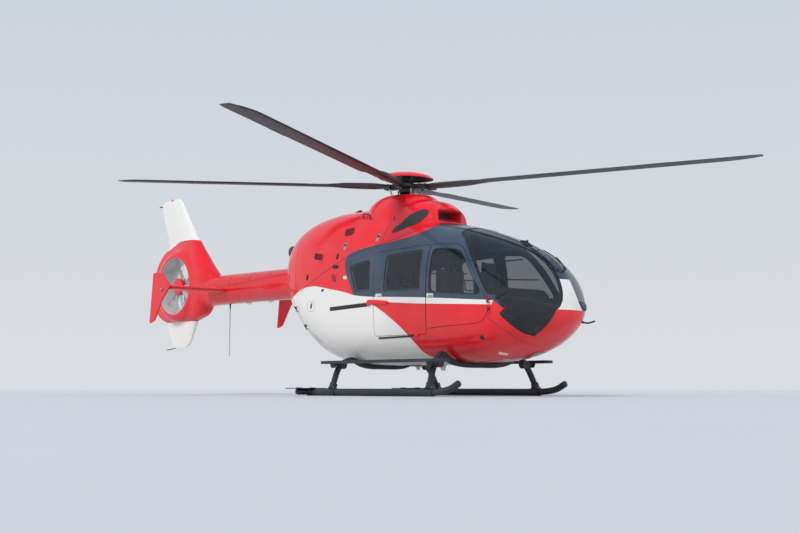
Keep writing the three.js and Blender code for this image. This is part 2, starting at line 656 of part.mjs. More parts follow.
function buildFan() {
  const at = (solid) => solid.translate([FAN_X, 0, FAN_Z]);
  const vanes = [];
  for (let i = 0; i < VANES; i += 1) {
    vanes.push(box(0, FAN_RADIUS, 40, 130, -9, 9).rotate([0, 17 + (i * 360) / VANES, 0]));
  }
  const gearbox = cylinder(FAN_HUB_RADIUS, [0, 20, 0], [0, 150, 0], 24, 80);
  const reach = FAN_RADIUS - TOUCH;
  const inDuct = fanForm([[0, -DUCT_HALF], [reach, -DUCT_HALF], [reach, DUCT_HALF], [0, DUCT_HALF]]);
  piece('fan_stator', at(union(gearbox, ...vanes).intersect(inDuct)), GREY, 0.45);
  const blades = [];
  for (let i = 0; i < FAN_BLADES; i += 1) {
    blades.push(box(90, FAN_RADIUS - TIP_GAP, -5, 5, -30, 30).rotate([38, 0, 0]).translate([0, ROTOR_Y, 0])
      .rotate([0, (i * 360) / FAN_BLADES, 0]));
  }
  const hub = cylinder(FAN_HUB_RADIUS, [0, ROTOR_Y - 45, 0], [0, 10, 0], 24);
  const shaft = cylinder(40, [0, 0, 0], [0, 20 - TOUCH, 0], 16);
  piece('tail_rotor', at(union(hub, shaft, ...blades)), GREY, 0.4);
}

// Landing gear. Cross tube points, starboard half, as [x, y, z] from the middle outwards.
const TUBE_RADIUS = 42;
const LEG_ROOM = 0.5; // round a cross tube, where it passes through another piece
const FEET_X = [1530, -490];
const CROSS_TUBES = {
  front: [
    [1450, 0, 425], [1450, -330, 430], [1450, -560, 470], [1450, -744, 560], [1480, -900, 400],
    [FEET_X[0], -TRACK_HALF, 120],
  ],
  rear: [
    [-540, 0, 425], [-540, -300, 430], [-545, -450, 455], [-555, -620, 515], [-530, -860, 420],
    [FEET_X[1], -TRACK_HALF, 120],
  ],
};

function crossTube(points, room = 0) {
  const half = points.map(([x, y, z], i) => [x, y, i === points.length - 1 ? z - 4 * room : z]);
  const whole = [...half.slice(1).map(([x, y, z]) => [x, -y, z]).reverse(), ...half];
  return bar(whole, TUBE_RADIUS + room, 10, 22);
}
const crossTubes = (room) => union(...Object.values(CROSS_TUBES).map((points) => crossTube(points, room)));

const HOOK_PLATE = [200, 180, 60]; // its lower face is 420 above the ground

const STEP = { front: 1850, back: -717, y: 995, z: 474, width: 150, thick: 40 };

function buildGear() {
  const skidZ = SHOE + SKID_RADIUS;
  // Columns: x, rise of the tube there.
  const curve = [[-1300, 0], [-600, 0], [600, 0], [1500, 0], [1720, 6], [1920, 40], [2070, 110]];
  const tube = bar(curve.map(([x, rise]) => [x, -TRACK_HALF, skidZ + rise]), SKID_RADIUS, 10, 14);
  const shoe = box(-1050, 1500, -TRACK_HALF - 30, -TRACK_HALF + 30, 0, skidZ - 20);
  // A plate on each skid's rear end spreads the load on soft ground.
  const plateOutline = [
    [-870, 90], [-990, 300], [-1210, 300], [-1340, 90],
    [-1340, -90], [-1210, -300], [-990, -300], [-870, -90],
  ];
  const plateZ = skidZ + SKID_RADIUS;
  const plate = planPrism(plateOutline.map(([x, y]) => [x, y - TRACK_HALF]), plateZ - 4, plateZ + 10);
  const saddles = FEET_X.map((x) => (
    cylinder(62, [x - 80, -TRACK_HALF, skidZ], [x + 80, -TRACK_HALF, skidZ], 16)
      .intersect(box(-FAR, FAR, -FAR, FAR, skidZ - 40, 400))));
  const legs = crossTubes(LEG_ROOM);
  pair('skid', union(tube, shoe, plate, ...saddles).subtract(legs), BLUE_BLACK, 0.4);
  piece('cross_tube_front', crossTube(CROSS_TUBES.front), BLUE_BLACK, 0.4);
  piece('cross_tube_rear', crossTube(CROSS_TUBES.rear), BLUE_BLACK, 0.4);
  const board = box(STEP.back, STEP.front, -STEP.y - STEP.width / 2, -STEP.y + STEP.width / 2,
    STEP.z - STEP.thick / 2, STEP.z + STEP.thick / 2);
  const brackets = [1490, -520].map((x) => box(x - 50, x + 50, -STEP.y, -820, STEP.z - 60, STEP.z));
  pair('step', union(board, ...brackets).subtract(legs), BLUE_BLACK, 0.4);
}

// Main rotor
// The hub's arms, and the horns that turn the blades. Each is [x, y, z] as two ends.
const ARM = [[0, 340], [-80, 80], [-30, 45]];
const HORN = [[180, 420], [110, 200], [-28, 4]];
// Columns: distance from the mast, chord, thickness, share of the chord ahead of the axis.
const BLADE_SECTIONS = [
  [300, 150, 60, 0.5],
  [520, 210, 86, 0.5],
  [900, 235, 80, 0.5],
  [1150, 215, 52, 0.45],
  [1320, BLADE_CHORD, BLADE_THICKNESS, 0.4],
  [4560, BLADE_CHORD, 26, 0.4],
  [4900, 240, 20, 0.28],
  [ROTOR_RADIUS, 150, 12, 0.0],
];

function rotorFrame(solid) {
  return solid.rotate([0, MAST_TILT, 0]).translate([MAST_X, 0, ROTOR_HEIGHT]);
}

function bladeForm() {
  return loft(BLADE_SECTIONS.map(([r, chord, thick, ahead]) => {
    const section = aerofoil(0, ahead * chord, (ahead - 1) * chord, thick / 2);
    return section.map((p) => new THREE.Vector3(r, p.x, p.y));
  }));
}

function buildRotor() {
  const mast = cylinder(70, [0, 0, MAST_FOOT + TOUCH], [0, 0, 60], 20);
  const swash = cylinder(190, [0, 0, -330], [0, 0, -290], 24);
  const fitted = (ends, room) => box(...ends.flatMap(([low, high]) => [low - room, high + room]));
  const around = (solid) => Array.from({ length: BLADE_COUNT }, (_, i) => (
    solid.rotate([0, 0, ROTOR_AZIMUTH + (i * 360) / BLADE_COUNT])));
  const joints = union(...around(fitted(ARM, TOUCH)), ...around(fitted(HORN, TOUCH)));
  around(bladeForm().rotate([0, -BLADE_PRECONE, 0])).forEach((blade, i) => {
    piece(`rotor_blade_${i + 1}`, rotorFrame(blade.subtract(joints)), BLACK, 0.5);
  });
  const link = cylinder(14, [110, 100, -310], [200, 165, -20], 8);
  const arm = union(fitted(ARM, 0), fitted(HORN, 0), link);
  piece('rotor_hub', rotorFrame(union(mast, swash, ...around(arm))), GREY, 0.4, 0.6);
  const dome = turned([[0, 225], [150, 217], [280, 192], [365, 160], [405, 125], [393, 125], [355, 150],
    [275, 178], [150, 201], [0, 208]], 28);
  const post = cylinder(60, [0, 0, 60 + TOUCH], [0, 0, 212], 16);
  piece('hub_cap', rotorFrame(dome.add(post)), RED);
}

// Interior that shows through the windows
function buildInterior() {
  const seat = union(
    block([1480, -360, 1060], [470, 470, 110]),
    block([1260, -360, 1400], [110, 460, 640]),
    block([1255, -360, 1790], [90, 260, 160]),
    box(1290, 1670, -540, -180, FLOOR_Z + TOUCH, 1010),
  );
  pair('cockpit_seat', seat, 0x3a3f45, 0.8);
  const panel = union(
    block([2290, 0, 1240], [220, 620, 330]),
    box(2190, 2340, -130, 130, FOOTWELL_Z + TOUCH, 1110),
    box(1690, 2230, -100, 100, FLOOR_Z + TOUCH, 1010),
  );
  piece('instrument_panel', panel, BLACK, 0.7);
  const bench = [-360, 360].map((y) => union(
    block([-20, y, 1060], [440, 440, 100]),
    block([-250, y, 1390], [100, 440, 620]),
    box(-190, 150, y - 170, y + 170, FLOOR_Z + TOUCH, 1020),
  ));
  const plinth = box(-210, 90, -450, 450, FLOOR_Z + TOUCH, FLOOR_Z + 30);
  piece('cabin_seats', union(...bench, plinth), 0x3a3f45, 0.8);
}

buildPod();
buildDoors();
buildGlass();
buildCowls();
buildEngines();
buildTail();
buildFan();
buildGear();
buildRotor();
buildInterior();

// The origin goes under the middle of the helicopter's length.
const extent = new THREE.Box3().setFromObject(helicopter);
const middle = (extent.min.x + extent.max.x) / 2;
for (const mesh of helicopter.children) mesh.geometry.translate(-middle, 0, 0);

export default helicopter;
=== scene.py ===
"""Looks for a light twin-engined rescue helicopter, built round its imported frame."""
import functools
import math

import bpy
import bmesh
import numpy as np
from mathutils import Matrix, Vector
from mathutils.bvhtree import BVHTree


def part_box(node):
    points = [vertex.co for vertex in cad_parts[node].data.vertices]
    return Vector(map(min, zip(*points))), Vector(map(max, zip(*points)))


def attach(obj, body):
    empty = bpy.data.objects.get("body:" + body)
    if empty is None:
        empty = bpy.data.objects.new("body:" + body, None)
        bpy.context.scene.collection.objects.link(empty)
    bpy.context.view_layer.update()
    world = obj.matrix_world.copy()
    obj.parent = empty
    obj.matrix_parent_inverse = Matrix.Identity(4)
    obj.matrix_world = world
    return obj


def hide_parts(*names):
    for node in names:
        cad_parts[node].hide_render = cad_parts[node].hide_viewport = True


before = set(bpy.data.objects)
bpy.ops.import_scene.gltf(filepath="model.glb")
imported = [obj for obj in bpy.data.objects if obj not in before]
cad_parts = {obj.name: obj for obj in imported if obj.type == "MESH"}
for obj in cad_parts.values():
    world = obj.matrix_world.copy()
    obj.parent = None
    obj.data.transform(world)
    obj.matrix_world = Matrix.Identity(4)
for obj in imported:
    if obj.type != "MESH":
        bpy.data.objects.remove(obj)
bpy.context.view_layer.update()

# Places in the tables are in millimetres from a station just ahead of the rotor's mast, with +X to
# the nose and +Y to the port side. SHIFT moves them into the frame, in metres.
NOSE_X = 3085
SHIFT = float(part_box("nose_frame")[1][0]) - NOSE_X / 1000
# FAR reaches past the helicopter's ends and top, WIDE past the pod's sides.
FAR = 4000
WIDE = 1000
# Thickness of the pod's wall, of the cowls and of the roof under the engine deck
WALL = 45
COWL_SKIN = 18
ROOF = 40
# The hair's breadth between neighbouring skins, and the gap round a door
TOUCH = 0.3
SEAM = 6
# Where the underfloor ends and the roof skin begins
FLOOR_Z = 780
ROOF_EDGE_Z = 2095
# Half the distance between the skids, and the mast's station
TRACK_HALF = 1030
MAST_X = -60
# The bodies of a pair of pieces that don't move
STILL = ("airframe", "airframe")

temporary = []


# Solids

def link(obj):
    bpy.context.scene.collection.objects.link(obj)
    return obj


def at(x, y, z):
    """A place in station millimetres as a point of the shared frame."""
    return Vector((x / 1000 + SHIFT, y / 1000, z / 1000))


def new_object(name, points, faces):
    """An object from points in station millimetres."""
    placed = np.asarray(points, float) / 1000
    placed[:, 0] += SHIFT
    mesh = bpy.data.meshes.new(name)
    mesh.from_pydata(placed.tolist(), [], faces)
    mesh.update()
    return bpy.data.objects.new(name, mesh)


def solid(points, faces):
    """A closed solid for cutting and joining, its faces turned outwards."""
    obj = new_object("solid", points, faces)
    temporary.append(obj)
    bm = bmesh.new()
    bm.from_mesh(obj.data)
    bmesh.ops.recalc_face_normals(bm, faces=bm.faces)
    if bm.calc_volume(signed=True) < 0:
        bmesh.ops.reverse_faces(bm, faces=bm.faces)
    bm.to_mesh(obj.data)
    bm.free()
    return obj


def ring_faces(rows, count):
    faces = []
    for i in range(rows - 1):
        for j in range(count):
            a, b = i * count + j, i * count + (j + 1) % count
            faces.append((a, b, b + count, a + count))
    return faces


def loft(rings):
    """A solid through rings of points, closed at both ends."""
    rings = np.asarray(rings, float)
    rows, count = rings.shape[:2]
    points = np.concatenate([rings.reshape(-1, 3), [rings[0].mean(axis=0)], [rings[-1].mean(axis=0)]])
    faces = ring_faces(rows, count)
    first, last = rows * count, rows * count + 1
    for j in range(count):
        k = (j + 1) % count
        faces.append((first, k, j))
        faces.append((last, (rows - 1) * count + j, (rows - 1) * count + k))
    return solid(points, faces)


def prism(outline, low, high, axis="y"):
    """An outline given a length along an axis: side view [x, z], front view [y, z], plan [x, y]."""
    order = {"y": lambda p, d: (p[0], d, p[1]), "x": lambda p, d: (d, p[0], p[1]),
             "z": lambda p, d: (p[0], p[1], d)}[axis]
    count = len(outline)
    points = [order(p, low) for p in outline] + [order(p, high) for p in outline]
    faces = ring_faces(2, count) + [tuple(range(count)), tuple(range(2 * count - 1, count - 1, -1))]
    return solid(points, faces)


def oblong(x0, x1, z0, z1):
    return [(x0, z0), (x1, z0), (x1, z1), (x0, z1)]


def box(x0, x1, y0, y1, z0, z1):
    return prism(oblong(x0, x1, z0, z1), y0, y1)


def copy_of(obj):
    twin = obj.copy()
    twin.data = obj.data.copy()
    temporary.append(twin)
    return twin


def mirrored(obj):
    """The same solid on the port side."""
    twin = copy_of(obj)
    twin.data.transform(Matrix.Scale(-1, 4, (0, 1, 0)))
    twin.data.flip_normals()
    return twin


def evaluated(obj):
    """A new mesh: the object's own, with its modifiers applied."""
    return bpy.data.meshes.new_from_object(obj.evaluated_get(bpy.context.evaluated_depsgraph_get()))


OPERATIONS = {"-": "DIFFERENCE", "&": "INTERSECT", "+": "UNION"}


def csg(base, *steps):
    """Applies steps such as ("-", cutter) to a copy of base, in order."""
    result = copy_of(base)
    for sign, other in steps:
        modifier = result.modifiers.new("step", "BOOLEAN")
        modifier.operation = OPERATIONS[sign]
        modifier.solver = "MANIFOLD"
        modifier.object = other
    mesh = evaluated(link(result))
    bpy.context.scene.collection.objects.unlink(result)
    result.modifiers.clear()
    result.data = mesh
    return result


def join(*solids):
    return csg(solids[0], *[("+", other) for other in solids[1:]])


def both_sides(form):
    return join(form, mirrored(form))


def shift(x, y, z):
    return Matrix.Translation((x / 1000, y / 1000, z / 1000))


def turn(degrees, axis):
    return Matrix.Rotation(math.radians(degrees), 4, axis)


def moved(obj, *way):
    twin = copy_of(obj)
    twin.data.transform(shift(*way))
    return twin


def shaped(obj, *matrices):
    """A copy of a solid, moved by matrices in the order given, about the station's origin."""
    twin = copy_of(obj)
    total = Matrix.Translation((-SHIFT, 0, 0))
    for matrix in matrices:
        total = matrix @ total
    twin.data.transform(Matrix.Translation((SHIFT, 0, 0)) @ total)
    return twin


def unit_rows(rows):
    return rows / np.linalg.norm(rows, axis=1)[:, None]


def offset(outline, by):
    """An outline moved outwards, its corners kept sharp."""
    points = np.asarray(outline, float)
    following = np.roll(points, -1, axis=0)
    area = np.sum(points[:, 0] * following[:, 1] - following[:, 0] * points[:, 1])
    way = unit_rows(following - points)
    normal = np.stack([way[:, 1], -way[:, 0]], axis=1)
    before = np.roll(normal, 1, axis=0)
    share = by * math.copysign(1, area) / (1 + np.sum(before * normal, axis=1))
    return (points + (before + normal) * share[:, None]).tolist()


def rounded(outline, radius, steps=6):
    """An outline with each corner turned into a curve."""
    points = np.asarray(outline, float)
    result = []
    for i, corner in enumerate(points):
        back, ahead = points[i - 1] - corner, points[(i + 1) % len(points)] - corner
        a, b = np.linalg.norm(back), np.linalg.norm(ahead)
        angle = math.acos(max(-1, min(1, float(back @ ahead / (a * b)))))
        reach = min(radius / max(math.tan(angle / 2), 1e-3), 0.48 * a, 0.48 * b)
        start, end = corner + back / a * reach, corner + ahead / b * reach
        for k in range(steps + 1):
            t = k / steps
            result.append(((1 - t) ** 2 * start + 2 * t * (1 - t) * corner + t * t * end).tolist())
    return [p for i, p in enumerate(result) if math.dist(p, result[i - 1]) > 0.5]


def around(count, start=0.0):
    """Angles of a full turn. Start is the first one's place, as a share of a step."""
    return (np.arange(count) + start) / count * 2 * math.pi


def circle(radius, sides=20):
    return np.stack([np.cos(around(sides)) * radius, np.sin(around(sides)) * radius], axis=1)


def cylinder(radius, start, end, sides=48, end_radius=None):
    start, end = np.array(start, float), np.array(end, float)
    way = (end - start) / np.linalg.norm(end - start)
    side = np.cross(way, (0, 0, 1) if abs(way[2]) < 0.9 else (1, 0, 0))
    side /= np.linalg.norm(side)
    other = np.cross(way, side)
    ring = np.cos(around(sides))[:, None] * side + np.sin(around(sides))[:, None] * other
    return loft([start + ring * radius, end + ring * (radius if end_radius is None else end_radius)])


def turned(profile, sides=64):
    """A profile of [radius, height] points turned about the Z axis."""
    return loft([np.column_stack([circle(max(radius, 0.01), sides), np.full(sides, height)])
                 for radius, height in profile])


def mixed(s, low, high, first, last):
    return (high - s) / (high - low) * first + (s - low) / (high - low) * last


def curve_points(points, count):
    """Evenly spaced points on a smooth curve through the given points."""
    p = np.asarray(points, float)
    p = np.vstack([2 * p[0] - p[1], p, 2 * p[-1] - p[-2]])
    dense = []
    for i in range(1, len(p) - 2):
        t = np.cumsum([0] + [max(np.linalg.norm(p[i + k] - p[i + k - 1]), 1e-6) ** 0.5 for k in range(3)])
        for s in np.linspace(t[1], t[2], 24, endpoint=i == len(p) - 3):
            a = [mixed(s, t[k], t[k + 1], p[i - 1 + k], p[i + k]) for k in range(3)]
            b = [mixed(s, t[k], t[k + 2], a[k], a[k + 1]) for k in range(2)]
            dense.append(mixed(s, t[1], t[2], *b))
    dense = np.array(dense)
    along = np.concatenate([[0], np.cumsum(np.linalg.norm(np.diff(dense, axis=0), axis=1))])
    marks = np.linspace(0, along[-1], count)
    return np.stack([np.interp(marks, along, dense[:, k]) for k in range(3)], axis=1)


def sweep(path, section, shrink=None):
    """A closed section, as [across, up] points, carried along a path of points."""
    path = np.asarray(path, float)
    way = unit_rows(np.gradient(path, axis=0))
    across = np.cross(way[0], (0, 0, 1))
    if np.linalg.norm(across) < 1e-3:
        across = np.cross(way[0], (1, 0, 0))
    across /= np.linalg.norm(across)
    section = np.asarray(section, float)
    rings = []
    for i, (spot, ahead) in enumerate(zip(path, way)):
        across = across - ahead * (across @ ahead)
        across /= np.linalg.norm(across)
        lift = np.cross(across, ahead)
        size = 1 if shrink is None else shrink[i]
        rings.append(spot + size * (section[:, :1] * across + section[:, 1:] * lift))
    return loft(rings)


def tube(points, radius, count=40, sides=20, ends=True):
    """A round tube along a smooth curve, its ends rounded."""
    path = curve_points(points, count)
    if not ends:
        return sweep(path, circle(radius, sides))
    first = (path[0] - path[1]) / np.linalg.norm(path[0] - path[1])
    last = (path[-1] - path[-2]) / np.linalg.norm(path[-1] - path[-2])
    head = [path[0] + first * (0.35 * radius * k) for k in (1.0, 0.8, 0.4)]
    tail = [path[-1] + last * (0.35 * radius * k) for k in (0.4, 0.8, 1.0)]
    shrink = np.concatenate([[0.45, 0.8, 0.96], np.ones(len(path)), [0.96, 0.8, 0.45]])
    return sweep(np.vstack([head, path, tail]), circle(radius, sides), shrink)


def smooth_table(rows, steps):
    """Rows of a table with `steps` rows put between each pair on smooth, unwavering curves."""
    y = np.asarray(rows, float)
    d = np.diff(y, axis=0)
    slope = np.zeros_like(y)
    with np.errstate(divide="ignore", invalid="ignore"):
        slope[1:-1] = np.where(d[:-1] * d[1:] > 0, 2 * d[:-1] * d[1:] / (d[:-1] + d[1:]), 0)
    slope[0], slope[-1] = d[0], d[-1]
    result = []
    for i in range(len(y) - 1):
        for k in range(steps):
            t = k / steps
            result.append(y[i] * (2 * t ** 3 - 3 * t ** 2 + 1) + slope[i] * (t ** 3 - 2 * t ** 2 + t)
                          + y[i + 1] * (3 * t ** 2 - 2 * t ** 3) + slope[i + 1] * (t ** 3 - t ** 2))
    return np.array([*result, y[-1]])


def power(value, exponent):
    return np.sign(value) * np.abs(value) ** exponent


# The pod. Columns: x, bottom z, top z, half width, z of the widest line, lower and upper exponent.
POD_SECTIONS = [
    [3093, 1076, 1084, 4, 1080, 2.0, 2.0],
    [3090, 1035, 1125, 50, 1080, 2.0, 2.0],
    [3085, 1010, 1150, 90, 1080, 2.0, 2.0],
    [3062, 940, 1285, 230, 1110, 2.0, 2.0],
    [2995, 855, 1460, 385, 1140, 2.0, 2.0],
    [2880, 765, 1640, 522, 1160, 2.0, 2.1],
    [2725, 675, 1785, 622, 1175, 2.1, 2.2],
    [2520, 590, 1915, 690, 1185, 2.3, 2.3],
    [2240, 515, 2050, 733, 1200, 2.6, 2.5],
    [1900, 468, 2175, 762, 1220, 2.9, 2.7],
    [1500, 445, 2295, 776, 1230, 3.1, 2.9],
    [1100, 436, 2390, 780, 1250, 3.2, 3.0],
    [600, 434, 2495, 780, 1250, 3.2, 3.0],
    [200, 434, 2610, 780, 1260, 3.2, 3.0],
    [-300, 440, 2710, 778, 1270, 3.1, 3.1],
    [-700, 455, 2750, 768, 1290, 3.0, 3.2],
    [-1050, 500, 2750, 748, 1330, 2.8, 3.3],
    [-1350, 590, 2730, 720, 1390, 2.7, 3.3],
    [-1620, 730, 2690, 685, 1460, 2.6, 3.3],
    [-1870, 920, 2635, 640, 1550, 2.5, 3.2],
    [-2090, 1130, 2565, 580, 1650, 2.4, 3.0],
    [-2290, 1360, 2470, 490, 1760, 2.3, 2.8],
    [-2460, 1530, 2340, 380, 1850, 2.2, 2.5],
]
POD_ROWS = smooth_table(POD_SECTIONS, 7)


@functools.lru_cache(maxsize=None)
def pod_form(inset, count=112, every=1):
    """The pod's form moved in by an inset, at its ends too."""
    rows = POD_ROWS[::every]
    nose, tail = rows[0][0], rows[-1][0]
    scale = (nose - tail - 2 * inset) / (nose - tail)
    angles = around(count, 0.5)
    up = np.sin(angles) > 0
    rings = []
    for x, bottom, top, half, widest, low_power, up_power in rows:
        exponent = 2 / np.where(up, up_power, low_power)
        height = np.maximum(1, np.where(up, top - widest, widest - bottom) - inset)
        y = power(np.cos(angles), exponent) * max(1, half - inset)
        z = widest + power(np.sin(angles), exponent) * height
        rings.append(np.stack([np.full(count, tail + inset + (x - tail) * scale), y, z], axis=1))
    return loft(rings)


# Outlines in side view, as [x, z] points. The deck is the line between the cabin's roof and the cowls.
COWL_FRONT_X = 1000
DECK = [
    [COWL_FRONT_X, 2370], [454, 2199], [-91, 2099], [-610, 1985], [-1300, 1740], [-1700, 1590], [-2500, 1560],
]


def over_deck(lift):
    """All that is over the deck line, moved up by a lift."""
    low_end = DECK[-1][1] + lift
    under = [[x, z + lift] for x, z in DECK]
    return prism([[COWL_FRONT_X, FAR], *under, [-FAR, low_end], [-FAR, FAR]], -WIDE, WIDE)


DOOR_BOTTOM = 830
DOOR_SPLIT_X = 1190
COCKPIT_DOOR = [
    [DOOR_SPLIT_X, 900], [1440, 918], [2088, 942], [2196, 970], [2265, 1035], [2300, 1125], [2280, 1220],
    [2235, 1330], [2020, 1660], [1810, 1925], [1735, 1990], [1640, 2030], [DOOR_SPLIT_X, 2060],
]
SLIDING_DOOR = [
    [110, DOOR_BOTTOM], [DOOR_SPLIT_X, DOOR_BOTTOM], [DOOR_SPLIT_X, 2060], [180, 2025], [110, 1980],
]
COCKPIT_GLASS = [
    [1260, 1395], [2130, 1312], [2178, 1340], [2158, 1400], [1834, 1830], [1750, 1918], [1640, 1962],
    [1300, 1992], [1250, 1955], [1240, 1430],
]
SLIDING_GLASS = [
    [340, 1450], [1030, 1435], [1060, 1460], [1070, 1960], [1040, 1990], [400, 1965], [350, 1930],
    [320, 1480],
]
REAR_GLASS = [
    [-260, 1480], [0, 1490], [20, 1520], [10, 1900], [-20, 1930], [-400, 1870], [-440, 1830], [-310, 1520],
]
SCREEN = [
    [2300, 1312], [2529, 1274], [2811, 1231], [3010, 1166], [3066, 1130], [FAR, 1100], [FAR, FAR],
    [1500, FAR], [1500, 2300], [1560, 2190], [1700, 2105], [1800, 2000], [1870, 1920], [2031, 1716],
    [2247, 1378],
]
CHIN = [
    [2465, 1058], [2510, 1092], [2621, 1180], [3000, 1110], [FAR, 1065], [FAR, 755], [2753, 767],
    [2679, 805], [2585, 920],
]
# The middle post between the windscreens, in front view
POST_EDGE = [
    [-355, 400], [-345, 760], [-325, 850], [-305, 960], [-262, 1090], [-205, 1130], [-150, 1220],
    [-115, 1340], [-95, 1500], [-70, 1750], [-50, 2000], [-40, FAR],
]
POST = POST_EDGE + [[-y, z] for y, z in reversed(POST_EDGE)]
POST_BACK_X = 1200
NOSE_SEAM = [
    [2860, 300], [2521, 820], [2439, 890], [2370, 950], [2290, 1025], [2220, 1060], [1700, 1950],
    [1600, 2095], [1520, 2150], [1400, 2290], [1400, FAR],
]
CLAM_SEAM = [[-1130, 380], [-2010, 1500]]


# Cutters from the starboard side end this far from the middle.
CUTTER_END = 250


def right_side(outline):
    """What lies behind an outline on the starboard side, clear of the middle."""
    return prism(outline, -WIDE, -CUTTER_END)


def post(room):
    return prism(offset(POST, room), POST_BACK_X, FAR, "x")


def beside_post(outline, room):
    return csg(prism(outline, -WIDE, 0), ("-", post(room)))


def clam_zone(room):
    (x0, z0), (x1, z1) = CLAM_SEAM
    back = room * math.hypot(x1 - x0, z1 - z0) / (z1 - z0)
    top = [x1 - back + room * (x0 - x1) / (z1 - z0), z1 - room]
    return prism([[x0 - back, z0], top, [-FAR, z1 - room], [-FAR, z0]], -WIDE, WIDE)


def nose_zone(room):
    """The side walls' side of the seam, one millimetre wider than any cutter beside it."""
    return prism([*[[x - room, z] for x, z in NOSE_SEAM], [FAR, FAR], [FAR, 300]], -WIDE - 1, WIDE + 1)


def slab(low, high):
    return box(-FAR, FAR, -WIDE, WIDE, low, high)


# Materials

class Look:
    """A procedural material and the sums on its nodes."""

    def __init__(self, name, roughness=0.4, metallic=0.0, **fixed):
        self.material = bpy.data.materials.new(name)
        self.material.use_nodes = True
        self.tree = self.material.node_tree
        self.shader = self.tree.nodes["Principled BSDF"]
        for key, value in {"Roughness": roughness, "Metallic": metallic, **fixed}.items():
            self.put(self.shader.inputs[key.replace("_", " ")], value)
        self.place = self.node("TexCoord", {}, "Object")
        x, self.y, self.z = self.node("SeparateXYZ", {0: self.place}).node.outputs
        self.x = self.math("SUBTRACT", x, SHIFT)
        self.side = self.math("ABSOLUTE", self.y)

    def put(self, socket, value):
        if isinstance(value, bpy.types.NodeSocket):
            self.tree.links.new(value, socket)
        else:
            socket.default_value = (*value, 1) if socket.type == "RGBA" else value

    def node(self, kind, inputs, output=0, **settings):
        """One output of a new node, after its settings and inputs are given."""
        node = self.tree.nodes.new(f"ShaderNode{kind}")
        for key, value in settings.items():
            setattr(node, key, value)
        for key, value in inputs.items():
            self.put(node.inputs[key], value)
        return node.outputs[output]

    def math(self, operation, *values):
        return self.node("Math", dict(enumerate(values)), operation=operation)

    def scale(self, value, low, high, to_low=0.0, to_high=1.0, kind="LINEAR"):
        given = {"Value": value, "From Min": low, "From Max": high, "To Min": to_low, "To Max": to_high}
        return self.node("MapRange", given, interpolation_type=kind)

    def over(self, value, edge, width=0.002):
        """1 where value is over the edge, 0 where it is under it."""
        return self.scale(self.math("SUBTRACT", value, edge), -width, width)

    def both(self, *masks):
        return functools.reduce(functools.partial(self.math, "MULTIPLY"), masks)

    def either(self, *masks):
        return functools.reduce(functools.partial(self.math, "MAXIMUM"), masks)

    def none(self, mask):
        return self.math("SUBTRACT", 1.0, mask)

    def distance(self, a, b):
        return self.math("SQRT", self.math("ADD", self.both(a, a), self.both(b, b)))

    def curve(self, value, points):
        """A curve through points of [input, output], flat beyond both ends."""
        data = np.array(sorted(points), float)
        low, high = data.min(axis=0), data.max(axis=0)
        share = (data - low) / (high - low)
        output = self.node("FloatCurve", {"Value": self.scale(value, low[0], high[0])})
        mapping = output.node.mapping
        line = mapping.curves[0].points
        line[0].location, line[-1].location = share[0], share[-1]
        for a, b in share[1:-1]:
            line.new(a, b)
        mapping.update()
        return self.scale(output, 0.0, 1.0, low[1], high[1])

    def mix(self, mask, a, b):
        return self.node("Mix", {"Factor": mask, 6: a, 7: b}, 2, data_type="RGBA")

    def noise(self, scale, detail=2.0, roughness=0.5, stretch=None):
        place = self.node("Mapping", {0: self.place, "Scale": stretch}) if stretch else self.place
        return self.node("TexNoise", {"Vector": place, "Scale": scale, "Detail": detail,
                                      "Roughness": roughness})

    def wave(self, scale, direction, distortion=0.0):
        return self.node("TexWave", {"Vector": self.place, "Scale": scale, "Distortion": distortion}, "Fac",
                         bands_direction=direction)

    def colour(self, value):
        self.put(self.shader.inputs["Base Color"], value)
        return self

    def mottled(self, dark, light, scale, detail=2.0):
        return self.colour(self.mix(self.noise(scale, detail), dark, light))

    def rough(self, value, low, high, to_low, to_high):
        self.put(self.shader.inputs["Roughness"], self.scale(value, low, high, to_low, to_high))
        return self

    def bump(self, height, strength=0.2, distance=0.001):
        given = {"Strength": strength, "Distance": distance, "Height": height}
        self.put(self.shader.inputs["Normal"], self.node("Bump", given))
        return self


RED = (0.78, 0.008, 0.016)
WHITE = (0.80, 0.785, 0.74)
NAVY = (0.030, 0.058, 0.092)

# Where the paint changes. Each row is a point of the boundary in side view, in metres.
BAND_BOTTOM = [
    (-0.40, 1.450), (-0.02, 1.400), (0.43, 1.372), (1.11, 1.330), (2.08, 1.254), (2.28, 1.240), (2.36, 1.232),
    (2.42, 1.205), (2.50, 1.160), (2.62, 1.155), (3.00, 1.088), (3.10, 1.075),
]
# Input z, output the band's rear and upper end x.
BAND_REAR = [
    (1.40, -0.310), (1.457, -0.345), (1.625, -0.438), (1.796, -0.527), (1.903, -0.549), (1.969, -0.541),
    (2.046, -0.472), (2.083, -0.314), (2.127, 0.086), (2.166, 0.456), (2.242, 0.857), (2.325, 1.000),
    (2.45, 1.003),
]
STRIPE_BOTTOM = [(-0.40, 1.372), (0.52, 1.291), (1.10, 1.248), (2.08, 1.193), (2.45, 1.172)]
STRIPE_REAR = -0.40
# The stripe's front end leans: its foot x and z, and its run forward for each metre up.
STRIPE_FOOT, STRIPE_LEAN = (2.355, 1.178), 0.65
PATCH_TOP = [
    (-2.50, 1.400), (-1.944, 1.520), (-1.726, 1.600), (-1.369, 1.628), (-0.906, 1.560), (-0.578, 1.499),
    (-0.270, 1.418), (0.019, 1.312), (0.220, 1.220), (0.431, 1.100), (0.700, 0.919), (0.910, 0.716),
    (1.002, 0.582), (1.100, 0.501), (1.166, 0.430), (1.175, 0.0),
]
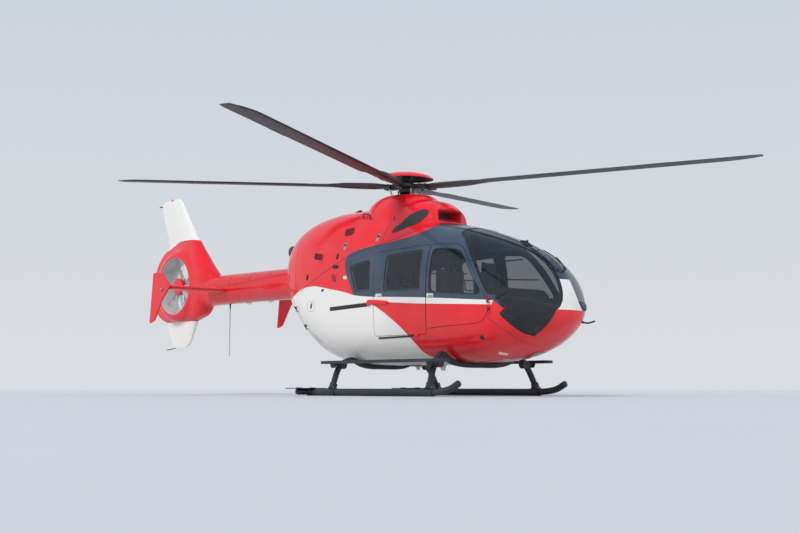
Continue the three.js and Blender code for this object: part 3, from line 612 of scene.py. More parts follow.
# The middle post's paint. Input z, output its half width.
POST_HALF = [(1.09, 0.262), (1.13, 0.205), (1.22, 0.150), (1.34, 0.115), (1.50, 0.095)]
POST_PAINT_X = 2.4
POST_WHITE = (1.10, 1.50)
FIN_WHITE = [(-6.75, 2.62), (-6.60, 2.645), (-6.37, 2.70), (-6.07, 2.765), (-5.74, 2.765), (-5.45, 2.69)]
FAN = (-6150, 1945)
FAN_RADIUS = 500
DUCT_GREY = (0.50, 0.49, 0.47)


def paint_base(name):
    look = Look(name, roughness=0.25, Coat_Weight=0.35, Coat_Roughness=0.05, Specular_IOR_Level=0.35)
    look.haze = look.noise(3.0, 4.0)
    low_down = look.scale(look.z, 1.3, 0.35)
    look.dust = look.both(low_down, look.scale(look.noise(38.0, 6.0, 0.65), 0.3, 0.9))
    haze_part, dust_part = look.scale(look.haze, 0.3, 0.7, 0.16, 0.26), look.both(look.dust, 0.06)
    look.put(look.shader.inputs["Roughness"], look.math("ADD", haze_part, dust_part))
    return look.bump(look.noise(420.0), 0.05, 0.0004)


def weathered(look, colour):
    """The paint with faint fading and dust low down."""
    faded = look.mix(look.scale(look.haze, 0.35, 0.75, 0.0, 0.035), colour, (0.9, 0.6, 0.6))
    return look.colour(look.mix(look.both(look.dust, 0.10), faded, (0.30, 0.27, 0.23))).material


def airframe_paint():
    look = paint_base("airframe_paint")
    x, z = look.x, look.z
    bottom = look.curve(x, BAND_BOTTOM)
    band = look.both(look.over(z, bottom), look.over(x, look.curve(z, BAND_REAR)))
    rise = look.math("SUBTRACT", z, STRIPE_FOOT[1])
    stripe_end = look.math("ADD", STRIPE_FOOT[0], look.both(rise, STRIPE_LEAN))
    stripe = look.both(look.over(z, look.curve(x, STRIPE_BOTTOM)), look.none(look.over(z, bottom)),
                       look.none(look.over(x, stripe_end)), look.over(x, STRIPE_REAR))
    patch = look.none(look.over(z, look.curve(x, PATCH_TOP)))
    post_edge = look.math("ADD", look.curve(z, POST_HALF), 0.004)
    on_post = look.both(look.over(x, POST_PAINT_X), look.none(look.over(look.side, post_edge)))
    foot, top = (look.over(z, edge) for edge in POST_WHITE)
    colour = look.mix(band, RED, NAVY)
    colour = look.mix(look.both(on_post, look.none(foot)), colour, RED)
    white = look.either(stripe, patch, look.both(on_post, foot, look.none(top)))
    return weathered(look, look.mix(white, colour, WHITE))


def tail_paint():
    look = paint_base("tail_paint")
    painted = look.mix(look.over(look.z, look.curve(look.x, FIN_WHITE)), RED, WHITE)
    reach = look.distance(look.math("SUBTRACT", look.x, FAN[0] / 1000),
                          look.math("SUBTRACT", look.z, FAN[1] / 1000))
    return weathered(look, look.mix(look.over(reach, FAN_RADIUS / 1000 + 0.013), DUCT_GREY, painted))


def plain_paint(name, colour):
    return weathered(paint_base(name), colour)


def glass_look():
    look = Look("tinted_glass", roughness=0.03, Alpha=0.36, IOR=1.55, Specular_IOR_Level=0.7,
                Coat_Weight=0.6, Coat_Roughness=0.02)
    look.rough(look.noise(14.0, 5.0, 0.6), 0.45, 0.8, 0.015, 0.05)
    tint = look.scale(look.noise(2.0), 0.3, 0.7, 0.0, 0.3)
    return look.colour(look.mix(tint, (0.010, 0.016, 0.022), (0.030, 0.036, 0.042))).material


def gear_paint():
    look = Look("gear_paint", roughness=0.42)
    scuff = look.noise(30.0, 6.0, 0.7)
    worn = look.both(look.scale(scuff, 0.62, 0.72), look.scale(look.z, 0.16, 0.02))
    colour = look.mix(look.scale(look.noise(6.0), 0.35, 0.7), (0.018, 0.026, 0.034), (0.032, 0.041, 0.050))
    look.colour(look.mix(worn, colour, (0.22, 0.22, 0.21))).rough(scuff, 0.3, 0.7, 0.32, 0.55)
    return look.bump(look.noise(260.0), 0.12, 0.0006).material


def rubber():
    look = Look("black_rubber").mottled((0.010, 0.011, 0.012), (0.026, 0.027, 0.029), 60.0, 4.0)
    return look.rough(look.noise(25.0), 0.3, 0.7, 0.45, 0.7).bump(look.noise(350.0)).material


def trim_plastic(name, dark, light, roughness=0.6):
    look = Look(name).mottled(dark, light, 9.0, 5.0)
    look.rough(look.noise(70.0), 0.3, 0.7, roughness - 0.1, roughness + 0.1)
    return look.bump(look.noise(500.0, 3.0), 0.25, 0.0006).material


def metal(name, dark, light, roughness=0.35):
    look = Look(name, metallic=0.9)
    brushed = look.noise(60.0, 4.0, 0.6, stretch=(1, 1, 9))
    look.colour(look.mix(brushed, dark, light))
    return look.rough(brushed, 0.3, 0.7, roughness - 0.1, roughness + 0.12).bump(brushed, 0.05).material


def grip():
    look = Look("step_grip", roughness=0.9)
    grain = look.noise(320.0, 4.0, 0.8)
    look.colour(look.mix(grain, (0.012, 0.013, 0.015), (0.045, 0.047, 0.05)))
    return look.bump(grain, 0.8, 0.002).material


def fabric():
    look = Look("seat_fabric", roughness=0.9, Sheen_Weight=0.35)
    look.mottled((0.030, 0.034, 0.042), (0.062, 0.068, 0.078), 14.0, 5.0)
    weave = look.both(*[look.wave(55.0, direction, 0.4) for direction in "YZ"])
    return look.bump(weave, 0.35, 0.0008).material


def webbing():
    look = Look("belt_webbing", roughness=0.75).mottled((0.018, 0.019, 0.022), (0.045, 0.047, 0.052), 30.0)
    return look.bump(look.wave(140.0, "Z"), 0.3, 0.0005).material


def display():
    look = Look("display", roughness=0.12)
    lit = look.over(look.noise(9.0, 3.0), 0.52, 0.01)
    return look.colour(look.mix(lit, (0.012, 0.020, 0.030), (0.03, 0.07, 0.10))).material


def mesh_screen(name, roughness, waves, full, wire, hole, strength):
    """A screen whose holes lie where two sets of waves meet. The holes take the hole colour as painted shade,
    standing for the dark space behind the screen.
    """
    look = Look(name, roughness=roughness)
    holes = look.both(*[look.wave(scale, direction) for scale, direction in waves])
    # Painted shade: the holes are coloured near black, where the space behind the screen would lie in shade.
    look.colour(look.mix(look.scale(holes, 0.25, full), wire, hole))
    return look.bump(holes, strength, 0.002).material


def lamp(name, dark, light, grain, **fixed):
    return Look(name, **fixed).mottled(dark, light, grain).material


PAINT = airframe_paint()
TAIL_PAINT = tail_paint()
RED_PAINT = plain_paint("red_gloss_paint", RED)
WHITE_PAINT = plain_paint("white_gloss_paint", WHITE)
NAVY_PAINT = plain_paint("navy_gloss_paint", NAVY)
DUCT_PAINT = plain_paint("duct_paint", (0.55, 0.54, 0.52))
FAN_PAINT = plain_paint("fan_paint", (0.42, 0.43, 0.44))
GLASS = glass_look()
GEAR = gear_paint()
RUBBER = rubber()
GRIP = grip()
FABRIC = fabric()
WEBBING = webbing()
DISPLAY = display()
LINING = trim_plastic("cabin_lining", (0.20, 0.215, 0.235), (0.27, 0.285, 0.30), 0.7)
DARK_TRIM = trim_plastic("dark_trim", (0.018, 0.020, 0.024), (0.032, 0.034, 0.038), 0.55)
FRAME_GREY = trim_plastic("window_frame", (0.30, 0.31, 0.33), (0.42, 0.43, 0.45), 0.55)
INTAKE = trim_plastic("intake_screen", (0.012, 0.012, 0.013), (0.05, 0.05, 0.052), 0.6)
BLADE = trim_plastic("blade_coating", (0.030, 0.034, 0.042), (0.050, 0.054, 0.062), 0.5)
CUFF = trim_plastic("blade_cuff", (0.020, 0.014, 0.014), (0.040, 0.028, 0.026), 0.45)
STEEL = metal("bright_metal", (0.42, 0.42, 0.44), (0.62, 0.62, 0.63), 0.3)
DARK_METAL = metal("dark_metal", (0.045, 0.045, 0.048), (0.10, 0.095, 0.09), 0.45)
EXHAUST = metal("exhaust_metal", (0.10, 0.075, 0.06), (0.24, 0.20, 0.17), 0.5)
CASTING = metal("cast_casing", (0.20, 0.205, 0.21), (0.34, 0.345, 0.35), 0.55)
CASING = metal("engine_casing", (0.24, 0.21, 0.18), (0.46, 0.43, 0.39), 0.42)
# In both screens the hole colour is painted shade, near black for the shaded space behind the mesh.
GRILLE = mesh_screen("vent_mesh_painted_shade", 0.7, [(38.0, "DIAGONAL"), (38.0, "Z")], 0.45,
                     (0.16, 0.012, 0.016), (0.006, 0.005, 0.006), 0.5)
DARK_MESH = mesh_screen("intake_mesh_painted_shade", 0.6, [(45.0, "X"), (45.0, "Z")], 0.5,
                        (0.055, 0.055, 0.055), (0.006, 0.006, 0.006), 0.6)
CLEAR_LENS = lamp("lamp_glass", (0.80, 0.82, 0.84), (0.92, 0.93, 0.94), 40.0, roughness=0.06,
                  Transmission_Weight=0.6, IOR=1.45)
RED_LENS = lamp("red_lamp", (0.50, 0.01, 0.01), (0.70, 0.03, 0.02), 60.0, roughness=0.1, Coat_Weight=0.5)


# Fitting skins to their smooth forms

SKIN_CORNER = 35
PART_CORNER = 38


class Reference:
    """A smooth form that skins take their shading from."""

    def __init__(self, obj):
        mesh = obj.data
        mesh.calc_loop_triangles()
        self.points = [v.co.copy() for v in mesh.vertices]
        self.normals = [n.vector.copy() for n in mesh.vertex_normals]
        self.triangles = [tuple(t.vertices) for t in mesh.loop_triangles]
        self.tree = BVHTree.FromPolygons(self.points, self.triangles)

    def nearest(self, point, reach):
        spot, _, index, distance = self.tree.find_nearest(point, reach)
        if spot is None:
            return None, None
        ids = self.triangles[index]
        a, b, c = [self.points[i] for i in ids]
        whole = (b - a).cross(c - a).length or 1e-12
        weights = ((b - spot).cross(c - spot).length / whole, (c - spot).cross(a - spot).length / whole)
        weights = (*weights, max(0.0, 1 - sum(weights)))
        normal = Vector((0, 0, 0))
        for i, weight in zip(ids, weights):
            normal += self.normals[i] * weight
        return distance, normal.normalized()


def mount(obj, body, nodes):
    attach(obj, body)
    if nodes:
        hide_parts(*nodes)


def dress(obj, name, body, outside, inside, references, nodes=(), reach=0.0015, blend=0.0, fit=0.7):
    """Names a cut solid, puts it on its body, and gives its outer faces the paint and smooth shading.

    Where two smooth forms meet, blend is how far their shading runs together, as a fillet would."""
    temporary.remove(obj)
    link(obj)
    obj.name = name
    mesh = obj.data
    mesh.materials.clear()
    mesh.materials.append(outside)
    mesh.materials.append(inside)
    found = [[reference.nearest(v.co, max(reach, blend)) for v in mesh.vertices] for reference in references]
    shading = {}
    for polygon in mesh.polygons:
        polygon.use_smooth = True
        best, agreed_best = None, fit
        for near in found:
            corners = [near[i] for i in polygon.vertices]
            if any(d is None or d > reach for d, _ in corners):
                continue
            agreed = min(n.dot(polygon.normal) for _, n in corners)
            if agreed > agreed_best:
                best, agreed_best = near, agreed
        polygon.material_index = 1 if best is None else 0
        if best is not None:
            for k, i in zip(polygon.loop_indices, polygon.vertices):
                normal = best[i][1].copy()
                for near in found:
                    if blend and near is not best and near[i][0] is not None:
                        normal += near[i][1] * (1 - near[i][0] / blend) ** 2
                shading[k] = tuple(normal.normalized())
    mesh.set_sharp_from_angle(angle=math.radians(SKIN_CORNER))
    mesh.normals_split_custom_set([shading.get(k, (0.0, 0.0, 0.0)) for k in range(len(mesh.loops))])
    mount(obj, body, nodes)


def on_doors(name):
    return f"{name}_right", f"{name}_left"


def pair_places(name, bodies, nodes):
    """Piece name, body and replaced nodes of a starboard piece and of its port twin."""
    for side, body in zip(("right", "left"), bodies):
        node = f"{name}_{side}"
        yield (f"{node}_skin", body, (node,)) if nodes else (node, body, ())


def dress_pair(obj, name, bodies, *rest, nodes=True):
    for form, (piece, body, replaced) in zip((obj, mirrored(obj)), pair_places(name, bodies, nodes)):
        dress(form, piece, body, *rest, nodes=replaced)


def part(name, body, members, nodes=(), bevel=0.0, segments=3):
    """Joins solids, given with their materials, into one named piece on a body."""
    corner = math.radians(PART_CORNER)
    bm = bmesh.new()
    mesh = bpy.data.meshes.new(name)
    for form, material in members:
        if material.name not in mesh.materials:
            mesh.materials.append(material)
        data = form.data.copy()
        if bevel:
            edge = bmesh.new()
            edge.from_mesh(data)
            sharp = [e for e in edge.edges if len(e.link_faces) == 2 and e.calc_face_angle(0) > corner]
            bmesh.ops.bevel(edge, geom=sharp, offset=bevel / 1000, segments=segments, profile=0.5,
                            affect="EDGES", clamp_overlap=True)
            edge.to_mesh(data)
            edge.free()
        slot = list(mesh.materials).index(material)
        for polygon in data.polygons:
            polygon.material_index = slot
            polygon.use_smooth = True
        bm.from_mesh(data)
        bpy.data.meshes.remove(data)
    bm.to_mesh(mesh)
    bm.free()
    mesh.set_sharp_from_angle(angle=corner)
    obj = link(bpy.data.objects.new(name, mesh))
    if bevel:
        obj.modifiers.new("flat_faces", "WEIGHTED_NORMAL").keep_sharp = True
    mount(obj, body, nodes)


def part_pair(name, bodies, members, nodes=False, **more):
    twins = [(mirrored(form), material) for form, material in members]
    for forms, (piece, body, replaced) in zip((members, twins), pair_places(name, bodies, nodes)):
        part(piece, body, forms, replaced, **more)


# Pod skins, doors and glass

# The room cut out of the pod, and the lower floor under the pilots' feet
CABIN_BACK_X, CABIN_FRONT_X, CABIN_HALF = -2400, 2180, 900
FOOTWELL_Z = 610
REAR_CUT = [[-2540, 2100], [-2215, 2570], [-2215, FAR], [-FAR, FAR], [-FAR, 2100]]
POD_SKIN = pod_form(0)
POD_REFERENCE = Reference(POD_SKIN)
rear_cut = prism(REAR_CUT, -WIDE, WIDE)
pod_outer = csg(POD_SKIN, ("-", rear_cut))
pod_inner = csg(pod_form(WALL, 64, 3), ("-", moved(rear_cut, WALL, 0, -WALL)))
cabin_space = csg(pod_inner, ("-", over_deck(-ROOF)), ("&", join(
    box(CABIN_BACK_X, CABIN_FRONT_X, -CABIN_HALF, CABIN_HALF, FLOOR_Z, FAR),
    box(CABIN_FRONT_X - 1, FAR, -CABIN_HALF, CABIN_HALF, FOOTWELL_Z, FAR))))
bay_form = csg(pod_form(COWL_SKIN, 96, 2), ("-", moved(rear_cut, COWL_SKIN, 0, -COWL_SKIN)))
shell = csg(pod_outer, ("-", cabin_space), ("-", over_deck(0)))

cockpit_door_line = rounded(COCKPIT_DOOR, 60)
sliding_door_line = rounded(SLIDING_DOOR, 60)
GLASS_LINES = {
    "cockpit_door": rounded(COCKPIT_GLASS, 90), "sliding_door": rounded(SLIDING_GLASS, 60),
    "rear_side": rounded(REAR_GLASS, 60), "screen": rounded(SCREEN, 45), "chin": rounded(CHIN, 60),
}
doorways = both_sides(join(right_side(cockpit_door_line), right_side(sliding_door_line),
                           right_side(GLASS_LINES["rear_side"])))
windows = both_sides(join(beside_post(GLASS_LINES["screen"], 0), beside_post(GLASS_LINES["chin"], 0)))
framed = csg(shell, ("-", doorways), ("-", windows), ("-", clam_zone(0)))


def skin_piece(obj, node, inside=LINING):
    dress(obj, f"{node}_skin", "airframe", PAINT, inside, [POD_REFERENCE], (node,))


skin_piece(csg(framed, ("&", nose_zone(0))), "nose_frame", DARK_TRIM)
body = csg(framed, ("-", nose_zone(TOUCH)))
skin_piece(csg(body, ("&", slab(0, FLOOR_Z))), "underfloor")
above = csg(body, ("&", slab(FLOOR_Z + TOUCH, FAR)))
skin_piece(csg(above, ("&", join(over_deck(-ROOF), slab(ROOF_EDGE_Z, FAR)))), "cabin_roof")
walls = csg(above, ("-", join(over_deck(-ROOF - TOUCH), slab(ROOF_EDGE_Z - TOUCH, FAR))))
wall = csg(walls, ("&", box(-FAR, FAR, -WIDE, -TOUCH, 0, FAR)))
dress_pair(wall, "side_wall", STILL, PAINT, LINING, [POD_REFERENCE])


def leaf(outline, glass):
    return csg(shell, ("&", right_side(offset(outline, -SEAM))), ("-", right_side(glass)))


clam = csg(shell, ("&", clam_zone(SEAM)), ("&", box(-FAR, 0, -WIDE, -SEAM / 2, 0, FAR)))
for name, form, bodies, inside in (
        ("cockpit_door", leaf(cockpit_door_line, GLASS_LINES["cockpit_door"]), on_doors("cockpit_door"),
         DARK_TRIM),
        ("sliding_door", leaf(sliding_door_line, GLASS_LINES["sliding_door"]), STILL, DARK_TRIM),
        ("clamshell_door", clam, on_doors("clamshell"), LINING)):
    dress_pair(form, name, bodies, PAINT, inside, [POD_REFERENCE])

# Panes lie a little behind the skin, and a rubber seal runs round each.
PANE_INSET = 4
PANE = 6
SEAL = 9
SEAL_INSET = 2
SEAL_BACK = PANE_INSET + PANE + 5
pane_layer = csg(pod_form(PANE_INSET), ("-", pod_form(PANE_INSET + PANE)))
seal_layer = csg(pod_form(SEAL_INSET), ("-", pod_form(SEAL_BACK, 96, 2)))
pane_references, seal_references = [Reference(pod_form(PANE_INSET))], [Reference(pod_form(SEAL_INSET))]


def pane_zone(pane, inset):
    outline = offset(GLASS_LINES[pane], -inset)
    return beside_post(outline, inset) if pane in ("screen", "chin") else right_side(outline)


for name, pane, bodies in (
        ("cockpit_door_glass", "cockpit_door", on_doors("cockpit_door")),
        ("sliding_door_glass", "sliding_door", STILL), ("rear_side_glass", "rear_side", STILL),
        ("windscreen", "screen", STILL), ("chin_window", "chin", STILL)):
    whole, inner = pane_zone(pane, TOUCH), pane_zone(pane, SEAL)
    dress_pair(csg(pane_layer, ("&", inner)), name, bodies, GLASS, GLASS, pane_references)
    dress_pair(csg(seal_layer, ("&", whole), ("-", inner)), f"{name}_seal", bodies, RUBBER, RUBBER,
               seal_references, nodes=False)


# Cowls over the engine deck

# The fixed spine's half width, the opening cowls' ends, the mast hole's radius and the gap round a pipe
SPINE_HALF = 150
SIDE_COWL = (-1900, 200)
MAST_HOLE = 240
EXHAUST_HOLE = 10
# The hump round the mast, in plan. Columns: z, middle x, half length, half width.
HUMP_SECTIONS = [
    [2300, -60, 640, 520], [2600, -60, 620, 500], [2720, -60, 590, 460], [2810, -60, 530, 400],
    [2870, -55, 450, 335], [2900, -50, 370, 285],
]
# The scoop in front of the mast. Columns: x, half width, top z.
SCOOP_SECTIONS = [[205, 500, 2800], [500, 480, 2795], [700, 430, 2750], [860, 350, 2650]]
SCOOP_BASE = 2300
PIPE_RADIUS = 105
PIPE_START, PIPE_END = (-1200, -320, 2190), (-2470, -240, 2260)


def hump_form(room, count=96):
    rings = []
    rows = smooth_table(HUMP_SECTIONS, 8)
    for i, (z, x, half_length, half_width) in enumerate(rows):
        lift = room if i == len(rows) - 1 else 0
        rings.append(np.stack([x + power(np.cos(around(count)), 0.85) * (half_length + room),
                               power(np.sin(around(count)), 0.85) * (half_width + room),
                               np.full(count, z + lift)], axis=1))
    return loft(rings)


def scoop_form(count=72):
    angles = around(count, 0.5)
    rings = []
    for x, half, top in smooth_table(SCOOP_SECTIONS, 10):
        height = np.where(np.sin(angles) > 0, top - SCOOP_BASE, 20)
        rings.append(np.stack([np.full(count, x), power(np.cos(angles), 0.7) * half,
                               SCOOP_BASE + power(np.sin(angles), 0.7) * height], axis=1))
    return loft(rings)


def exhausts(room):
    return both_sides(cylinder(PIPE_RADIUS + room, PIPE_START, (PIPE_END[0] - room, *PIPE_END[1:])))


def side_zone(room):
    return csg(box(SIDE_COWL[0] + room, SIDE_COWL[1] - room, -WIDE, -SPINE_HALF - room, 0, FAR),
               ("-", hump_form(room)))


hump_outer, scoop_outer = hump_form(0), scoop_form()
COWL_REFERENCES = [POD_REFERENCE, Reference(hump_outer), Reference(scoop_outer)]
cowl_skin = csg(pod_outer, ("-", bay_form), ("&", over_deck(TOUCH)))
side_cowl = csg(cowl_skin, ("&", side_zone(SEAM)))
dress_pair(side_cowl, "engine_cowl", on_doors("cowl"), PAINT, DARK_TRIM, [POD_REFERENCE])
hump = csg(hump_outer, ("-", hump_form(-COWL_SKIN)),
           ("&", box(-WIDE, WIDE, -WIDE, WIDE, HUMP_SECTIONS[0][0], FAR)), ("-", bay_form))
scoop_mouth = box(600, 900, -215, 215, 2465, 2600)
scoop_shell = csg(scoop_outer, ("&", over_deck(TOUCH)), ("-", hump_outer),
                  ("-", pod_form(COWL_SKIN - 1, 96, 2)), ("-", scoop_mouth))
centre = csg(cowl_skin, ("-", both_sides(side_zone(0))), ("+", hump), ("+", scoop_shell), ("-", bay_form),
             ("-", exhausts(EXHAUST_HOLE)), ("-", cylinder(MAST_HOLE, (MAST_X, 0, 2400), (MAST_X, 0, 3000))))
dress(centre, "centre_cowl_skin", "airframe", PAINT, DARK_TRIM, COWL_REFERENCES, ("centre_cowl",),
      reach=0.004, blend=0.03)


# Tail

JOINT_X = -4975
# Columns: x, middle z, half height, half width
BOOM_SECTIONS = [
    [-2460, 1785, 255, 262], [-2750, 1790, 250, 250], [-3700, 1798, 250, 222], [JOINT_X, 1802, 256, 204],
]
STUB_SECTIONS = [[JOINT_X - TOUCH, 1802, 256, 204], [-5350, 1806, 262, 186], [-5600, 1812, 262, 150]]
# Columns: z, front x, back x, half thickness
FIN_SECTIONS = [
    [1300, -5650, -6620, 70], [1345, -5500, -6760, 105], [1410, -5330, -6890, 142], [1600, -5165, -7060, 178],
    [1945, -5040, -7120, 190], [2060, -4990, -7110, 187], [2290, -5200, -7030, 165],
    [2520, -5400, -6850, 120], [2690, -5545, -6600, 90], [2760, -5605, -6590, 82],
    [3150, -5905, -6775, 54], [3400, -6090, -6850, 40], [3500, -6170, -6878, 32], [3570, -6260, -6800, 20],
]
VENTRAL_SECTIONS = [[835, -5960, -6420, 18], [900, -5850, -6450, 26], [1300, -5620, -6640, 62]]
TAILPLANE_FRONT, TAILPLANE_CHORD, TAILPLANE_Z = -4400, 550, 1770
TAILPLANE_HALF, TAILPLANE_THICK = 1310, 80
END_PLATE = [
    [-4390, 1790], [-4660, 2030], [-4930, 2030], [-4960, 1760], [-5030, 1180], [-4870, 1230], [-4640, 1560],
]
END_PLATE_THICK = 28
# Fan housing and duct. Columns: radius, place across, from the port rim to the middle.
LIP_PROFILE = [(0, -190), (FAN_RADIUS + 30, -190), (600, -165), (640, -120)]
DUCT_PROFILE = [
    (0, -300), (FAN_RADIUS + 80, -300), (FAN_RADIUS + 30, -191), (FAN_RADIUS + 10, -180), (FAN_RADIUS, -150),
]
FAN_HUB = 150
ROTOR_Y = -60


def aerofoil(z, front, back, half, points=26):
    ring = []
    for side in (1, -1):
        for i in range(points):
            along = i / points if side > 0 else 1 - i / points
            share = (1 - math.cos(along * math.pi)) / 2
            thick = 2.6 * (math.sqrt(share) - share) * (1 - 0.35 * share) / 0.575 + 0.09 * share
            ring.append((front + (back - front) * share, side * half * min(1, thick), z))
    return ring


def fin(sections):
    return loft([aerofoil(*row) for row in smooth_table(sections, 6)])


def oval_form(sections, grow=0, count=72):
    angles = around(count)
    rings = []
    for x, z, half_height, half_width in smooth_table(sections, 16):
        rings.append(np.stack([np.full(count, x), power(np.cos(angles), 0.92) * (half_width + grow),
                               z + power(np.sin(angles), 0.92) * (half_height + grow)], axis=1))
    return loft(rings)


def around_fan(half_profile):
    whole = half_profile + [(radius, -y) for radius, y in reversed(half_profile)]
    return shaped(turned(whole, 96), turn(90, "X"), shift(FAN[0], 0, FAN[1]))


def on_fan(form, *matrices):
    return shaped(shaped(form, *matrices), shift(FAN[0], 0, FAN[1]))


part("tail_boom_skin", "airframe", [(oval_form(BOOM_SECTIONS), RED_PAINT)], ("tail_boom",))
fin_form, stub_form, lip_form = fin(FIN_SECTIONS), oval_form(STUB_SECTIONS), around_fan(LIP_PROFILE)
housing = csg(fin_form, ("+", stub_form), ("+", lip_form), ("-", around_fan(DUCT_PROFILE)))
dress(housing, "fin_and_fan_housing_skin", "airframe", TAIL_PAINT, TAIL_PAINT,
      [Reference(fin_form), Reference(stub_form), Reference(lip_form)], ("fin_and_fan_housing",),
      reach=0.004, blend=0.07, fit=0.3)
part("ventral_fin_skin", "airframe", [(fin(VENTRAL_SECTIONS), WHITE_PAINT)], ("ventral_fin",))
plane_ring = aerofoil(0, TAILPLANE_FRONT, TAILPLANE_FRONT - TAILPLANE_CHORD, TAILPLANE_THICK / 2)
plane = loft([[(x, y, TAILPLANE_Z + up) for x, up, _ in plane_ring]
              for y in np.linspace(-TAILPLANE_HALF, TAILPLANE_HALF, 9)])
part("tailplane_skin", "airframe", [(plane, RED_PAINT)], ("tailplane",))
end_plate = prism(rounded(END_PLATE, 30), -TAILPLANE_HALF - END_PLATE_THICK, -TAILPLANE_HALF)
part_pair("end_plate", STILL, [(end_plate, RED_PAINT)], nodes=True, bevel=9)

# Fan. A vane's section has columns: place across, place along its chord.
VANE = [(40, -4), (60, -9), (100, -8), (130, -2), (130, 2), (100, 10), (60, 9), (40, 4)]
VANE_START = 17
vane = loft([[(radius, y, z) for y, z in VANE] for radius in np.linspace(100, FAN_RADIUS - 1, 8)])
gearbox = turned([(0, -150), (80, -150), (110, -110), (140, -60), (FAN_HUB, -30), (FAN_HUB, -20), (0, -20)])
stator = [on_fan(gearbox, turn(90, "X")), *[on_fan(vane, turn(VANE_START + i * 72, "Y")) for i in range(5)]]
part("fan_stator_detail", "airframe", [(form, DUCT_PAINT) for form in stator], ("fan_stator",))

blade_rings = []
for radius, pitch in zip(np.linspace(120, FAN_RADIUS - 10, 8), np.linspace(48, 30, 8)):
    c, s = math.cos(math.radians(pitch)), math.sin(math.radians(pitch))
    blade_rings.append([(radius, y * c + z * s, -y * s + z * c) for z, y, _ in aerofoil(0, 30, -30, 4.5, 8)])
fan_blade = loft(blade_rings)
hub_disc = turned([(0, -10), (FAN_HUB, -10), (FAN_HUB, 35), (FAN_HUB - 6, 43), (FAN_HUB - 40, 45), (0, 45)])
bolt = cylinder(6, (0, -112, 0), (0, -100, 0), 6)
part("tail_rotor_detail", "fan_rotor", [
    (on_fan(hub_disc, turn(90, "X"), shift(0, ROTOR_Y, 0)), RED_PAINT),
    *[(on_fan(fan_blade, shift(0, ROTOR_Y, 0), turn(i * 36, "Y")), FAN_PAINT) for i in range(10)],
    *[(on_fan(bolt, shift(95, 0, 0), turn(i * 45, "Y")), STEEL) for i in range(8)]], ("tail_rotor",))


# Main rotor. Its forms are made round the rotor's centre, with the blade along X.

# Angles are in degrees: azimuth is the first blade's place, cone how far the blades rise outwards.
ROTOR_HEIGHT = 3050
ROTOR_AZIMUTH = 25.5
ROTOR_RADIUS = 5100
MAST_TILT = 2
CONE = 3
MAST_FOOT = -540
CUFF_END = 1180
# The strip along a blade's front edge
GUARD_SPAN, GUARD_THICK = (1500, 5000), 1.2
# Columns: distance from the mast, chord, thickness, share of the chord ahead of the axis.
BLADE_SECTIONS = [
    [300, 150, 60, 0.5], [520, 210, 86, 0.5], [900, 235, 80, 0.5], [1150, 215, 52, 0.45],
    [1320, 288, 34, 0.4], [2400, 288, 31, 0.4], [4560, 288, 26, 0.4], [4900, 240, 20, 0.28],
    [ROTOR_RADIUS, 150, 12, 0.0],
]
# Profiles: radius, height over the rotor's centre.
HUB_PROFILE = [
    (0, MAST_FOOT + 1), (70, MAST_FOOT + 1), (70, -345), (62, -335), (62, -120), (95, -95), (110, -60),
    (110, 62), (85, 80), (0, 80),
]
SWASH_PROFILE = [
    (0, -335), (165, -335), (190, -325), (195, -310), (190, -295), (150, -280), (90, -262), (0, -262),
]
CAP_PROFILE = [
    (0, 225), (80, 223), (150, 217), (220, 206), (280, 192), (330, 176), (365, 160), (392, 140), (405, 125),
    (404, 121), (396, 121), (386, 135), (355, 152), (275, 180), (150, 203), (0, 210),
]
CAP_LINING_PROFILE = [
    (0, 206), (150, 200), (275, 177), (355, 149), (385, 131), (380, 129), (350, 145), (270, 173), (150, 196),
    (0, 202),
]
LINK_FOOT, LINK_TOP = (110, 100, -310), (200, 165, -20)
blade_rows = smooth_table(BLADE_SECTIONS, 8)


def rotor_place(form, *matrices):
    return shaped(form, *matrices, turn(MAST_TILT, "Y"), shift(MAST_X, 0, ROTOR_HEIGHT))


def blade_span(low, high, front=0.0, back=0.0):
    """A blade's sections between two distances from the mast, larger by front and back."""
    return [[(r, x, y) for x, y, _ in aerofoil(0, ahead * chord + front, (ahead - 1) * chord - back,
                                               thick / 2 + front)]
            for r, chord, thick, ahead in blade_rows if low <= r <= high]


def guard_ring(ring):
    outer = ring[-6:] + ring[:7]
    return outer + [(r, x - 5, y * 0.9) for r, x, y in reversed(outer)]


# One blade: its skin, its cuff, the strip along its front edge and the tab behind it
blade = [
    (loft(blade_span(CUFF_END, ROTOR_RADIUS)), BLADE),
    (loft(blade_span(0, CUFF_END + 60, 1.5, 1.5)), CUFF),
    (loft([guard_ring(ring) for ring in blade_span(*GUARD_SPAN, GUARD_THICK)]), DARK_METAL),
    (box(3500, 3900, -180, -168, -2, 2), BLADE),
]
for i in range(4):
    place = (turn(-CONE, "Y"), turn(ROTOR_AZIMUTH + 90 * i, "Z"))
    members = [(rotor_place(form, *place), look) for form, look in blade]
    part(f"rotor_blade_{i + 1}_detail", "main_rotor", members, (f"rotor_blade_{i + 1}",))

# What the hub has once for each blade: an arm, the pitch horn with its link, two bolts and a drive link
arm = [
    (prism(rounded([(60, -80), (340, -62), (340, 62), (60, 80)], 30), -30, 45, "z"), DARK_METAL),
    (prism(rounded([(180, 110), (420, 110), (420, 180), (300, 200), (180, 190)], 25), -28, 4, "z"),
     DARK_METAL),
    (cylinder(12, LINK_FOOT, LINK_TOP, 16), STEEL),
    (cylinder(20, (*LINK_FOOT[:2], -322), (*LINK_FOOT[:2], -285), 16), DARK_METAL),
    (cylinder(20, (*LINK_TOP[:2], -42), (*LINK_TOP[:2], 12), 16), DARK_METAL),
    *[(cylinder(16, (x, 0, -44), (x, 0, 60), 6), STEEL) for x in (210, 300)],
    (cylinder(10, (150, -40, -262), (115, -78, -70), 12), DARK_METAL),
]
hub = [(rotor_place(turned(HUB_PROFILE)), DARK_METAL), (rotor_place(turned(SWASH_PROFILE)), STEEL)]
